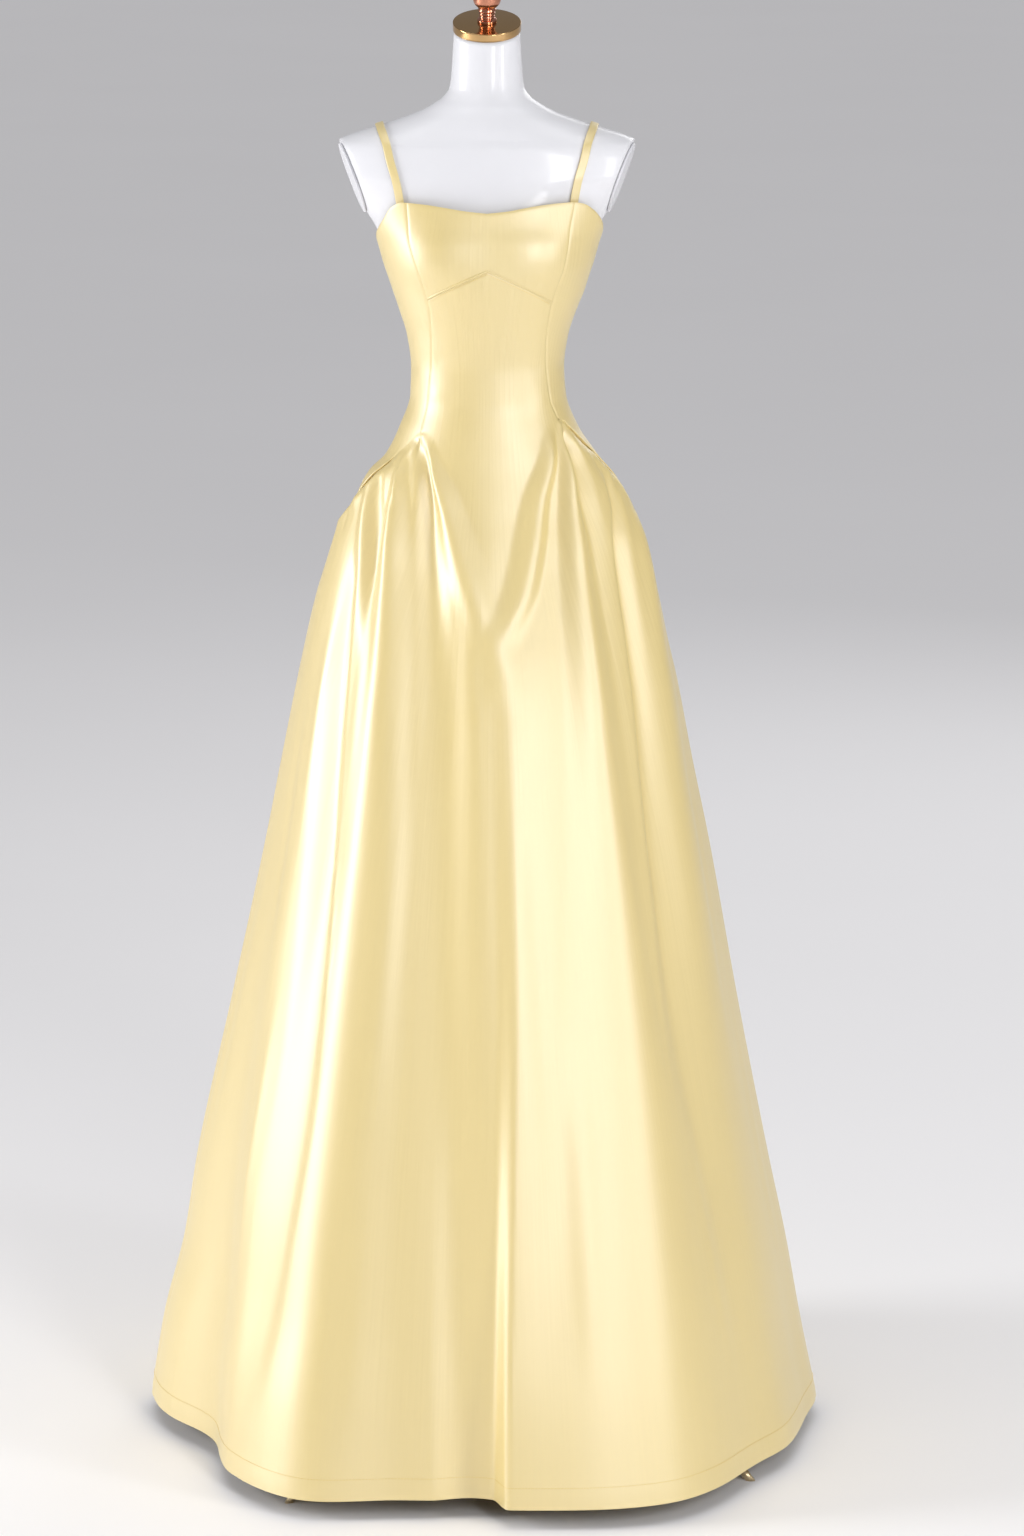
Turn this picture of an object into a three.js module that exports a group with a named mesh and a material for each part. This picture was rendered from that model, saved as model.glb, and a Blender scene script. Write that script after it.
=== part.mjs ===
// Prom dress on a dress form. Millimetres, +Z up, the front faces -Y.
// Left and right are as seen from in front: right is towards +X.
// The origin is on the floor under the middle of the stand's pole.
// Angles go round the pole in degrees: 0 is the centre front, positive towards +X, 180 the centre back.
import * as THREE from 'three';

// ---- driving dimensions -------------------------------------------------------------------
const WALL = 2;               // cloth wall
const SEAM_GAP = 0.3;         // between two sewn pieces, across the seam
const HIP_GAP = 0.5;          // measured straight down at the slanting hip seam
const HEM_HEIGHT = 24;        // hem above the floor
const TOP_HEIGHT = 1541;      // top edge at the front princess seams
const UNDER_BUST_HEIGHT = 1420;   // under-bust seam where it meets them
const SIDE_SEAM = 92;         // angle of the side seams
const STRAP = { width: 9.5, thick: 1.8, lift: 1.5, jointLift: 2.4, jointGap: 0.9, steps: 22 };
const NECK_CAP = { radius: 41, thick: 10, top: 1749, tilt: 18 };
const ARM_PLATE = { x: 160, z: 1563, down: 20, forward: 8, halfHeight: 44, halfWidth: 40, thick: 3 };
const POLE = { radius: 13 };
const FLANGE = { radius: 34, thick: 8 };
const FORM_BOTTOM = 1084;
const LEG = { count: 4, firstAngle: 53.4, sides: 8 };
const PLACE_GAP = 0.4;        // between the hard pieces of the stand

// ---- colours and finishes -----------------------------------------------------------------
const SATIN = { color: 0xf4e2a4, roughness: 0.42, metalness: 0 };
const FORM_COVER = { color: 0xf3f3f6, roughness: 0.6, metalness: 0 };
const ARM_COVER = { color: 0xd9d9de, roughness: 0.5, metalness: 0 };
const GOLD = { color: 0xb08a4e, roughness: 0.15, metalness: 1 };
const COPPER = { color: 0xb5694a, roughness: 0.2, metalness: 1 };
const STAND_METAL = { color: 0xcdb98a, roughness: 0.35, metalness: 0.8 };

// ---- tables -------------------------------------------------------------------------------
function table(names, rows) {
  const keys = names.split(' ');
  return rows.map((row) => Object.fromEntries(keys.map((key, i) => [key, row[i]])));
}

// The bodice: half widths to each side, depths to front and back, and how square the ring is.
const BODY = table('z left right front back square', [
  [1560, 160, 163, 94, 88, 2.3],
  [1540, 153, 156, 98, 92, 2.3],
  [1513, 144, 146, 103, 94, 2.3],
  [1490, 133.5, 137, 108, 94, 2.3],
  [1462, 125.5, 129, 110, 92, 2.3],
  [1444, 119.5, 123, 108, 90, 2.25],
  [1426, 113.5, 117.5, 104, 88, 2.2],
  [1408, 107.5, 110, 99, 86, 2.2],
  [1371, 96.5, 98, 89, 81, 2.2],
  [1335, 92, 93.5, 83, 78, 2.2],
  [1300, 93, 96, 84, 78, 2.2],
  [1262, 105.5, 110, 91, 85, 2.2],
  [1225, 124, 135, 98, 95, 2.2],
  [1206, 143, 150, 102, 101, 2.2],
  [1187, 154, 161, 106, 107, 2.2],
  [1155, 166, 173, 112, 115, 2.2],
]);

// The skirt's mean shape, under its folds.
const SKIRT = table('z left right front back square', [
  [1280, 100, 104, 88, 84, 2.2],
  [1243, 120, 126, 95, 94, 2.2],
  [1225, 132, 139, 98, 100, 2.2],
  [1206, 149, 153, 103, 108, 2.15],
  [1169, 169, 173, 114, 124, 2.1],
  [1132, 184, 189, 128, 142, 2.05],
  [1095, 196, 200, 143, 159, 2],
  [1046, 210, 211, 164, 179, 2],
  [996, 221, 221, 185, 197, 2],
  [946, 231, 232, 203, 214, 2],
  [846, 250, 249.5, 232, 243, 2],
  [745, 269, 269, 259, 268, 2],
  [542, 310.5, 303.5, 310, 314, 2],
  [337, 353, 342, 359, 358, 2],
  [234, 368, 363, 382, 378, 2],
  [130, 393, 381, 404, 397, 2],
  [HEM_HEIGHT, 409, 402, 421, 412, 2],
]);

// The form: the bust and hips stay inside the cloth, the shoulders and neck show.
const TORSO = table('z side front back square', [
  [1770, 40, 40, 40, 2],
  [1714, 41, 41, 41, 2],
  [1690, 42.5, 43, 43, 2],
  [1671, 45, 47, 46, 2],
  [1660, 52, 51, 49, 2],
  [1652, 63, 55, 52, 2],
  [1643, 79, 58, 55, 2],
  [1634, 103, 62, 58, 2],
  [1624, 134, 66, 61, 2],
  [1614, 165, 69, 64, 2.1],
  [1604, 184, 73, 68, 2.2],
  [1590, 190, 76, 73, 2.3],
  [1570, 186, 80, 78, 2.4],
  [1552, 170, 82, 82, 2.3],
  [1530, 152, 86, 85, 2.15],
  [1513, 139, 91, 87, 2.2],
  [1495, 129.5, 98, 89, 2.3],
  [1475, 122.5, 103, 88, 2.3],
  [1444, 116, 102, 86, 2.25],
  [1408, 104, 94, 81, 2.2],
  [1371, 93, 84, 76, 2.2],
  [1335, 88, 78, 73, 2.2],
  [1300, 90, 79, 73, 2.2],
  [1262, 101, 83, 79, 2.2],
  [1225, 117, 85, 85, 2.2],
  [1187, 134, 86, 90, 2.2],
  [1150, 140, 86, 92, 2.2],
  [1112, 138, 82, 88, 2.2],
  [1092, 128, 74, 80, 2.2],
  [FORM_BOTTOM, 112, 62, 68, 2.1],
]);

// Top edge of the bodice, by the angle from the centre front.
const TOP_EDGE = table('angle left right', [
  [0, 1530, 1530], [14, 1532.5, 1532.5], [28, 1536.5, 1537], [42, 1540, 1540.5], [52, 1541, 1541.5],
  [58, 1535, 1539], [64, 1519, 1531], [71, 1506, 1519], [80, 1496, 1505], [92, 1487, 1491],
  [108, 1481, 1482], [135, 1476, 1476], [180, 1473, 1473],
]);

// Under-bust seam, a shallow inverted V.
const UNDER_BUST = table('angle z', [[0, 1461], [17, 1446], [34, 1430], [45, 1420], [60, 1412]]);

// Front princess seams and the plain back ones.
const PRINCESS = table('z left right back', [
  [1545, -50, 54, 134],
  [1497, -46.5, 49, 137],
  [1455, -41, 46, 140],
  [1420, -40, 44.5, 142],
  [1383, -43, 46.6, 143],
  [1336, -48.5, 51.5, 142],
  [1300, -51.5, 54.5, 141],
  [1281, -52, 58, 140],
  [1262, -51, 60, 140],
]);

// Where the skirt hangs from the bodice: level across the front and back, slanting down the sides.
const HIP = table('angle z', [
  [-180, 1262], [-140, 1262], [-128, 1234], [-116, 1196], [-104, 1168], [-95, 1158], [-87, 1170],
  [-79, 1198], [-70, 1228], [-60, 1248], [-51, 1264], [60, 1276], [70, 1260], [80, 1236],
  [88, 1203], [95, 1172], [102, 1160], [112, 1172], [122, 1204], [132, 1240], [140, 1262], [180, 1262],
]);
const FRONT_CORNER = { left: -51, right: 60 };
const BACK_CORNER = 140;

// Each fold runs down the skirt: its line, how far it stands out (+) or in (-), and how many
// degrees it takes to die away on each side.
const fold = (rows) => table('z angle depth before after', rows);
const FOLDS = {
  left_front_valley: fold([
    [1262, -51, 0, 5, 5], [1225, -40.5, -5, 7, 5], [1150, -32, -9, 9, 9], [959, -18.5, -9, 13, 15],
    [729, -15, -10, 14, 16], [400, -11, -15, 18, 15], [HEM_HEIGHT, -8, -28, 22, 12],
  ]),
  left_front_band: fold([
    [1276, -51, 0, 6, 6], [1239, -40, 4, 5, 7], [1186, -26, 8, 7, 12], [1110, -13, 8, 9, 14],
    [1050, -5, 5, 9, 12], [985, -1, 0, 10, 12],
  ]),
  left_front_ridge: fold([
    [1240, -59, 0, 4, 4], [1200, -54, 7, 5, 7], [1131, -47, 13, 8, 9], [977, -37.5, 12, 11, 11],
    [768, -34, 12, 14, 13], [437, -33, 15, 18, 15], [HEM_HEIGHT, -33, 26, 22, 18],
  ]),
  left_side_notch: fold([
    [1222, -72, 0, 4, 4], [1196, -65, -3.5, 5, 5], [1135, -56.7, -4, 6, 5.5],
    [1000, -50, -2.2, 6, 5], [850, -47, 0, 6, 6],
  ]),
  left_side_ridge: fold([
    [1215, -75, 0, 5, 5], [1181, -69.3, 3.8, 5.5, 5], [1114, -60, 5.2, 6.5, 6],
    [974, -47, 3.8, 6.5, 5.5], [776, -42, 0, 6, 6],
  ]),
  left_crease: fold([
    [1120, -64, 0, 8, 3], [1075, -60.4, -4, 9, 3], [948, -53, -7, 11, 3], [750, -45.5, -8, 12, 2.5],
    [454, -40, -9, 12, 2.5], [242, -41.5, -7, 12, 3], [90, -44, 0, 12, 4],
  ]),
  left_side_hollow: fold([
    [1000, -80, 0, 14, 14], [700, -74, -6, 16, 16], [400, -70, -18, 19, 17], [HEM_HEIGHT, -66, -42, 22, 19],
  ]),
  left_side_wave: fold([
    [1130, -100, 0, 14, 14], [700, -98, 5, 16, 16], [HEM_HEIGHT, -98, 16, 18, 16],
  ]),
  centre_edge: fold([
    [1066, 1, 0, 12, 8], [900, 1.8, -2.4, 13, 7], [616, 2, -7, 13, 5.5], [385, 1.6, -14, 13, 3.8],
    [154, 1.2, -25, 12, 2.6], [HEM_HEIGHT, 1, -34, 11, 2.4],
  ]),
  right_front_band: fold([
    [1290, 52, 0, 7, 6], [1255, 45, 5, 8, 6], [1229, 40.5, 7, 9, 7], [1187, 31, 8, 11, 8],
    [1140, 24.5, 9, 12, 9], [1081, 16.5, 8, 12, 9], [1016, 5.5, 5, 9, 10], [940, 5, 0, 8, 10],
  ]),
  right_pocket: fold([
    [1270, 64, 0, 4, 6], [1252, 58.5, -7, 4, 7], [1224, 58.5, -7, 5, 8], [1180, 55, -4, 6, 9],
    [1110, 52, 0, 6, 9],
  ]),
  right_front_ridge: fold([
    [1266, 56, 0, 4, 4], [1210, 49.5, 8, 6, 6], [1132, 44, 11, 9, 9], [1035, 39.5, 11, 11, 10],
    [895, 36.5, 10, 13, 11], [723, 35.5, 11, 16, 13], [453, 34, 18, 21, 18],
    [HEM_HEIGHT, 30, 34, 30, 27],
  ]),
  right_side_valley: fold([
    [1222, 76, 0, 4, 4], [1178, 73.5, -8, 4, 6], [1126, 66, -10, 4, 8], [992, 58.5, -10, 4, 9],
    [885, 54.4, -9, 4, 10], [740, 50.8, -8, 4, 12], [567, 49.5, -6, 6, 13], [300, 54, -2, 12, 14],
    [HEM_HEIGHT, 62, 4, 16, 16],
  ]),
  right_side_ridge: fold([
    [1190, 88, 0, 6, 6], [1120, 82, 5, 8, 9], [950, 72, 6, 9, 12], [700, 67, 5, 11, 14],
    [350, 72, 0, 14, 14],
  ]),
  right_side_wave: fold([
    [1100, 100, 0, 14, 14], [650, 96, 6, 15, 16], [HEM_HEIGHT, 95, 13, 16, 18],
  ]),
  left_back_notch: fold([
    [1190, -110, 0, 4, 4], [1140, -115, -9, 5, 6], [930, -121, -8, 7, 8], [560, -121, -12, 11, 12],
    [HEM_HEIGHT, -119, -32, 15, 16],
  ]),
  left_back_ridge: fold([
    [1240, -128, 0, 4, 4], [1150, -130, 12, 7, 7], [860, -138, 11, 11, 10], [437, -140, 14, 15, 14],
    [HEM_HEIGHT, -142, 24, 18, 16],
  ]),
  left_back_valley: fold([
    [1256, -138, 0, 5, 5], [1180, -143, -13, 8, 8], [959, -153, -18, 11, 12], [600, -161, -24, 14, 13],
    [HEM_HEIGHT, -165, -42, 17, 14],
  ]),
  centre_back_ridge: fold([
    [1000, 180, 0, 12, 12], [600, 178, 7, 13, 14], [HEM_HEIGHT, 176, 20, 16, 18],
  ]),
  right_back_valley: fold([
    [1256, 138, 0, 5, 5], [1170, 144, -13, 8, 8], [950, 151, -19, 12, 11], [600, 155, -24, 13, 14],
    [HEM_HEIGHT, 156, -40, 16, 17],
  ]),
  right_back_ridge: fold([
    [1240, 127, 0, 4, 4], [1140, 129, 11, 7, 7], [850, 134, 10, 10, 11], [437, 134, 13, 14, 15],
    [HEM_HEIGHT, 133, 22, 15, 18],
  ]),
  right_back_notch: fold([
    [1195, 110, 0, 4, 4], [1130, 113, -8, 6, 5], [900, 116, -8, 8, 7], [500, 115, -12, 12, 11],
    [HEM_HEIGHT, 113, -26, 14, 14],
  ]),
};

const BUST_CUP = { angle: 33, z: 1480, out: 7, acrossDegrees: 19, up: 34 };

// Stand leg: distance from the pole, height, half width across and half height.
const LEG_LINE = table('reach z halfWidth halfHeight', [
  [36, 112, 12, 11],
  [80, 124, 12, 10],
  [150, 122, 11, 8.5],
  [220, 100, 9.5, 7.5],
  [290, 66, 8, 6.5],
  [345, 36, 6.5, 5.5],
  [384, 14, 5.5, 5],
  [399, 0, 5, 5],
]);

// Turned profiles, radius against height.
const HUB_PROFILE = table('radius z', [
  [0, 74], [10, 74], [16, 80], [13, 86], [23, 92], [27, 98], [27, 126], [23, 132], [17, 136],
  [17, 142], [14, 145], [14, 148], [0, 148],
]);
const FINIAL_PROFILE = table('radius z', [
  [0, 0], [11.5, 0], [11.5, 3], [8.5, 5], [9.5, 7], [8.5, 9], [10, 11], [9, 13], [11, 15.5], [10, 18],
  [13, 21], [16, 25], [17, 30], [17, 36], [15.5, 40], [11, 43], [8, 46], [8, 50], [11, 53],
  [13.5, 58], [14, 64], [12, 71], [7.5, 76], [0, 78],
]);

// ---- reading a table smoothly -------------------------------------------------------------
// A monotone cubic through the rows: no overshoot between two of them.
function read(rows, key, value, column) {
  const rising = rows[rows.length - 1][key] > rows[0][key];
  const inOrder = (a, b) => (rising ? a <= b : a >= b);
  if (inOrder(value, rows[0][key])) return rows[0][column];
  const last = rows.length - 1;
  if (inOrder(rows[last][key], value)) return rows[last][column];
  let i = 0;
  while (inOrder(rows[i + 1][key], value)) i += 1;
  const step = (j) => rows[j + 1][key] - rows[j][key];
  const slope = (j) => (rows[j + 1][column] - rows[j][column]) / step(j);
  const tangent = (j) => {
    if (j === 0) return slope(0);
    if (j === last) return slope(last - 1);
    const [a, b] = [slope(j - 1), slope(j)];
    return a * b <= 0 ? 0 : (2 * a * b) / (a + b);
  };
  const h = step(i);
  const t = (value - rows[i][key]) / h;
  const [m0, m1] = [tangent(i) * h, tangent(i + 1) * h];
  const change = rows[i + 1][column] - rows[i][column];
  return rows[i][column] + t * (m0 + t * (3 * change - 2 * m0 - m1 + t * (m0 + m1 - 2 * change)));
}

const RADIANS = Math.PI / 180;
const smooth = (t) => {
  const x = Math.min(1, Math.max(0, t));
  return x * x * (3 - 2 * x);
};
const turn = (degrees) => degrees - 360 * Math.round(degrees / 360);

function ring(angle, across, along, square) {
  const s = Math.abs(Math.sin(angle * RADIANS) / across);
  const c = Math.abs(Math.cos(angle * RADIANS) / along);
  return (s ** square + c ** square) ** (-1 / square);
}

function sectionRadius(rows, angle, z) {
  const across = read(rows, 'z', z, sideOf(angle));
  const along = read(rows, 'z', z, Math.abs(turn(angle)) < 90 ? 'front' : 'back');
  return ring(angle, across, along, read(rows, 'z', z, 'square'));
}

// ---- the dress's outer surface ------------------------------------------------------------
const hipLine = (angle) => read(HIP, 'angle', turn(angle), 'z');
const sideOf = (angle) => (turn(angle) < 0 ? 'left' : 'right');
const topLine = (angle) => read(TOP_EDGE, 'angle', Math.abs(turn(angle)), sideOf(angle));
const underBustLine = (angle) => read(UNDER_BUST, 'angle', Math.abs(angle), 'z');

function bustOut(angle, z) {
  const bump = (centre) => {
    const across = (turn(angle) - centre) / BUST_CUP.acrossDegrees;
    const up = (z - BUST_CUP.z) / BUST_CUP.up;
    return BUST_CUP.out * Math.exp(-across * across - up * up);
  };
  return bump(BUST_CUP.angle) + bump(-BUST_CUP.angle);
}

function foldOut(rows, angle, z) {
  if (z > rows[0].z) return 0;
  const off = turn(angle - read(rows, 'z', z, 'angle'));
  const reach = read(rows, 'z', z, off < 0 ? 'before' : 'after');
  if (Math.abs(off) >= reach) return 0;
  return read(rows, 'z', z, 'depth') * 0.5 * (1 + Math.cos((Math.PI * off) / reach));
}

function clothRadius(angle, z) {
  const body = sectionRadius(BODY, angle, z) + bustOut(angle, z);
  const below = hipLine(angle) - z;
  if (below <= 0) return body;
  const reach = 24 + 80 * Math.cos(angle * RADIANS) ** 2;
  const folds = Object.values(FOLDS).reduce((sum, rows) => sum + foldOut(rows, angle, z), 0);
  const share = smooth(below / reach);
  return body + share * (sectionRadius(SKIRT, angle, z) - body) + smooth(below / 30) * folds;
}

function place(radius, angle, z) {
  return new THREE.Vector3(radius * Math.sin(angle * RADIANS), -radius * Math.cos(angle * RADIANS), z);
}

const onCloth = (angle, z) => place(clothRadius(angle, z), angle, z);

function clothNormal(angle, z) {
  const round = onCloth(angle + 0.4, z).sub(onCloth(angle - 0.4, z));
  const up = onCloth(angle, z + 1.5).sub(onCloth(angle, z - 1.5));
  return round.cross(up).normalize();
}

// ---- building closed meshes ---------------------------------------------------------------
function geometryOf(positions, triangles) {
  const geometry = new THREE.BufferGeometry();
  const numbers = positions.flatMap((p) => [p.x, p.y, p.z]);
  geometry.setAttribute('position', new THREE.Float32BufferAttribute(numbers, 3));
  geometry.setIndex(triangles.flat());
  geometry.computeVertexNormals();
  return geometry;
}

function piece(name, geometry, finish) {
  const mesh = new THREE.Mesh(geometry, new THREE.MeshStandardMaterial(finish));
  mesh.name = name;
  return mesh;
}

// Grids of {angle, z} points, top row first. Points that two grids share are joined.
function clothWall(grids) {
  const points = [];
  const index = new Map();
  const quads = [];
  const idOf = (p) => {
    const key = `${p.angle.toFixed(3)},${p.z.toFixed(2)}`;
    if (!index.has(key)) {
      index.set(key, points.length);
      points.push(p);
    }
    return index.get(key);
  };
  for (const grid of grids) {
    const ids = grid.map((row) => row.map(idOf));
    for (let r = 0; r + 1 < ids.length; r += 1) {
      for (let c = 0; c + 1 < ids[r].length; c += 1) {
        quads.push([ids[r + 1][c], ids[r + 1][c + 1], ids[r][c + 1], ids[r][c]]);
      }
    }
  }
  const outer = points.map((p) => onCloth(p.angle, p.z));
  const inner = points.map((p, i) => (
    outer[i].clone().addScaledVector(clothNormal(p.angle, p.z), -WALL)
  ));
  const n = points.length;
  const triangles = [];
  const edges = new Set();
  for (const [a, b, c, d] of quads) {
    triangles.push([a, b, c], [a, c, d], [n + c, n + b, n + a], [n + d, n + c, n + a]);
    [[a, b], [b, c], [c, d], [d, a]].forEach(([p, q]) => edges.add(`${p}:${q}`));
  }
  for (const edge of edges) {
    const [a, b] = edge.split(':').map(Number);
    if (edges.has(`${b}:${a}`)) continue;
    // The rim's diagonal starts at its lower corner, so that both sides of a seam match.
    if (points[a].z > points[b].z) triangles.push([b, a, n + a], [b, n + a, n + b]);
    else triangles.push([b, a, n + b], [a, n + a, n + b]);
  }
  return geometryOf([...outer, ...inner], triangles);
}

// Rings of points of one length, first to last, closed by a fan at each end.
function ringSolid(rings) {
  const count = rings[0].length;
  const positions = rings.flat();
  const triangles = [];
  for (let r = 0; r + 1 < rings.length; r += 1) {
    for (let c = 0; c < count; c += 1) {
      const d = (c + 1) % count;
      const [a, b] = [r * count + c, r * count + d];
      triangles.push([a, b, b + count], [a, b + count, a + count]);
    }
  }
  for (const [ringStart, flip] of [[0, true], [(rings.length - 1) * count, false]]) {
    const middle = positions.slice(ringStart, ringStart + count)
      .reduce((sum, p) => sum.add(p), new THREE.Vector3()).divideScalar(count);
    positions.push(middle);
    for (let c = 0; c < count; c += 1) {
      const [a, b] = [ringStart + c, ringStart + ((c + 1) % count)];
      triangles.push(flip ? [b, a, positions.length - 1] : [a, b, positions.length - 1]);
    }
  }
  return geometryOf(positions, triangles);
}

function turned(profile, segments) {
  const outline = profile.map((p) => new THREE.Vector2(p.radius, p.z));
  return new THREE.LatheGeometry(outline, segments).rotateX(Math.PI / 2);
}

function cylinder(radius, height, segments) {
  return new THREE.CylinderGeometry(radius, radius, height, segments).rotateX(Math.PI / 2);
}

// ---- rows and columns of the panels -------------------------------------------------------
const BUST_ROWS = 5;
const WAIST_ROWS = 8;
const SKIRT_ROWS = 17;
const halfSeam = (angle, z) => SEAM_GAP / 2 / clothRadius(angle, z) / RADIANS;

function spread(from, to, longest) {
  const count = Math.max(1, Math.round(Math.abs(to - from) / longest));
  return Array.from({ length: count + 1 }, (_, i) => from + ((to - from) * i) / count);
}

// The cloth's columns: where each stop leaves the hip line, where it reaches the hem, and how many
// cells lie between it and the stop before. They fan out as the pleats do.
const FRONT_STOPS = table('hip hem cells', [
  [-SIDE_SEAM, -SIDE_SEAM, 0], [-72, -62, 5], [-65, -52, 3], [-59, -36, 3], [FRONT_CORNER.left, -12, 5],
  [-2.5, -3, 7], [1, 1, 1], [4, 3.2, 1], [49, 24, 7], [54.5, 30, 2], [FRONT_CORNER.right, 38, 2],
  [73.5, 53, 4], [SIDE_SEAM, SIDE_SEAM, 5],
]);
const BACK_STOPS = table('hip hem cells', [
  [SIDE_SEAM, SIDE_SEAM, 0], [110, 115, 5], [127, 136, 4], [BACK_CORNER, 161, 4], [180, 180, 5],
]);
const FAN_REACH = 180;        // how far down the skirt most of the fanning is done

function columnsThrough(stops) {
  const columns = [stops[0].hip];
  stops.slice(1).forEach((stop, i) => {
    const from = stops[i].hip;
    for (let k = 1; k <= stop.cells; k += 1) columns.push(from + ((stop.hip - from) * k) / stop.cells);
  });
  return columns;
}

const FRONT_COLUMNS = columnsThrough(FRONT_STOPS);
const BACK_COLUMNS = columnsThrough(BACK_STOPS);

function fannedAngle(column, drop) {
  const back = Math.abs(column) >= SIDE_SEAM;
  const hem = back
    ? Math.sign(column) * read(BACK_STOPS, 'hip', Math.abs(column), 'hem')
    : read(FRONT_STOPS, 'hip', column, 'hem');
  return hem + (column - hem) * Math.exp(-drop / FAN_REACH);
}

// Heights along one front princess seam, as shares of the way from the top edge to the hip.
function seamShares(side) {
  const seam = (z) => read(PRINCESS, 'z', z, side);
  const top = topLine(seam(TOP_HEIGHT));
  const underBust = underBustLine(seam(UNDER_BUST_HEIGHT));
  const hip = hipLine(FRONT_CORNER[side]);
  const bust = spread(0, 1, 1 / BUST_ROWS).map((t) => top + (underBust - top) * t);
  const waist = spread(0, 1, 1 / WAIST_ROWS).slice(1).map((t) => underBust + (hip - underBust) * t);
  return [...bust, ...waist].map((z) => (top - z) / (top - hip));
}

const SHARES = { left: seamShares('left'), right: seamShares('right') };

function seamPoint(side, row) {
  const top = topLine(read(PRINCESS, 'z', TOP_HEIGHT, side));
  const z = top + (hipLine(FRONT_CORNER[side]) - top) * SHARES[side][row];
  return { z, angle: read(PRINCESS, 'z', z, side) };
}

// A panel between the two front princess seams, from one seam row to another.
function frontRows(firstRow, lastRow, upperLine, lowerLine, columns) {
  const corners = FRONT_CORNER.right - FRONT_CORNER.left;
  const shares = columns.map((a) => (a - FRONT_CORNER.left) / corners);
  const angleAt = (row, share) => {
    const left = seamPoint('left', row);
    const right = seamPoint('right', row);
    const from = left.angle + halfSeam(left.angle, left.z);
    const to = right.angle - halfSeam(right.angle, right.z);
    return from + (to - from) * share;
  };
  const grid = [];
  for (let row = firstRow; row <= lastRow; row += 1) {
    const down = (row - firstRow) / (lastRow - firstRow);
    grid.push(shares.map((share) => {
      const upper = upperLine(angleAt(firstRow, share));
      const lower = lowerLine(angleAt(lastRow, share));
      return { angle: angleAt(row, share), z: upper + (lower - upper) * down };
    }));
  }
  return grid;
}

// The hanging part: columns from the hip line to the hem.
function skirtRows(columns, fromHip) {
  const last = columns.length - 1;
  return spread(0, 1, 1 / SKIRT_ROWS).map((t) => columns.map((column, i) => {
    const top = hipLine(column) - (fromHip(column) ? HIP_GAP / 2 : 0);
    const z = top + (HEM_HEIGHT - top) * t ** 1.45;
    const angle = fannedAngle(column, top - z);
    const inset = i === 0 ? halfSeam(angle, z) : i === last ? -halfSeam(angle, z) : 0;
    return { angle: angle + inset, z };
  }));
}

const middleColumns = FRONT_COLUMNS.filter((a) => a >= FRONT_CORNER.left && a <= FRONT_CORNER.right);

function bustPanel() {
  const seam = (angle) => underBustLine(angle) + SEAM_GAP / 2;
  return piece('bust_panel', clothWall([frontRows(0, BUST_ROWS, topLine, seam, middleColumns)]), SATIN);
}

function frontPanel() {
  const seam = (angle) => underBustLine(angle) - SEAM_GAP / 2;
  const upper = frontRows(BUST_ROWS, BUST_ROWS + WAIST_ROWS, seam, hipLine, middleColumns);
  const joint = upper[upper.length - 1];
  const skirt = skirtRows(FRONT_COLUMNS, (a) => a < FRONT_CORNER.left || a > FRONT_CORNER.right);
  const start = FRONT_COLUMNS.indexOf(middleColumns[0]);
  joint.forEach((point, i) => {
    skirt[0][start + i] = point;
  });
  return piece('front_panel', clothWall([upper, skirt]), SATIN);
}

function seamHeight(seam, corner, down) {
  const top = topLine(seam(TOP_HEIGHT));
  return top + (hipLine(corner) - top) * down;
}

// Side panels run from a princess seam to the side seam and end on the slanting hip line.
function sidePanel(name, side, columns, seam) {
  const sideSeam = SIDE_SEAM * (side === 'left' ? -1 : 1);
  const corner = columns[0];
  const inward = Math.sign(sideSeam - corner);
  const grid = SHARES[side].map((down) => columns.map((column, i) => {
    const share = (column - corner) / (sideSeam - corner);
    const between = (edge) => edge + (sideSeam - edge) * share;
    const top = topLine(between(seam(TOP_HEIGHT)));
    const z = top + (hipLine(column) + HIP_GAP / 2 - top) * down;
    const angle = down === 1 ? column : between(seam(seamHeight(seam, corner, down)));
    const inset = i === 0 ? inward : i === columns.length - 1 ? -inward : 0;
    return { angle: angle + inset * halfSeam(angle, z), z };
  }));
  if (inward < 0) grid.forEach((row) => row.reverse());
  return piece(name, clothWall([grid]), SATIN);
}

function sidePanels() {
  const panels = [];
  for (const [side, sign] of [['left', -1], ['right', 1]]) {
    const corner = FRONT_CORNER[side];
    const outwards = (a, b) => (a - b) * sign;
    const frontColumns = FRONT_COLUMNS.filter((a) => a * sign >= corner * sign).sort(outwards);
    const frontSeam = (z) => read(PRINCESS, 'z', z, side);
    panels.push(sidePanel(`side_front_${side}`, side, frontColumns, frontSeam));
    const backColumns = BACK_COLUMNS.filter((a) => a <= BACK_CORNER).reverse().map((a) => a * sign);
    const backSeam = (z) => read(PRINCESS, 'z', z, 'back') * sign;
    panels.push(sidePanel(`side_back_${side}`, side, backColumns, backSeam));
  }
  return panels;
}

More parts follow.
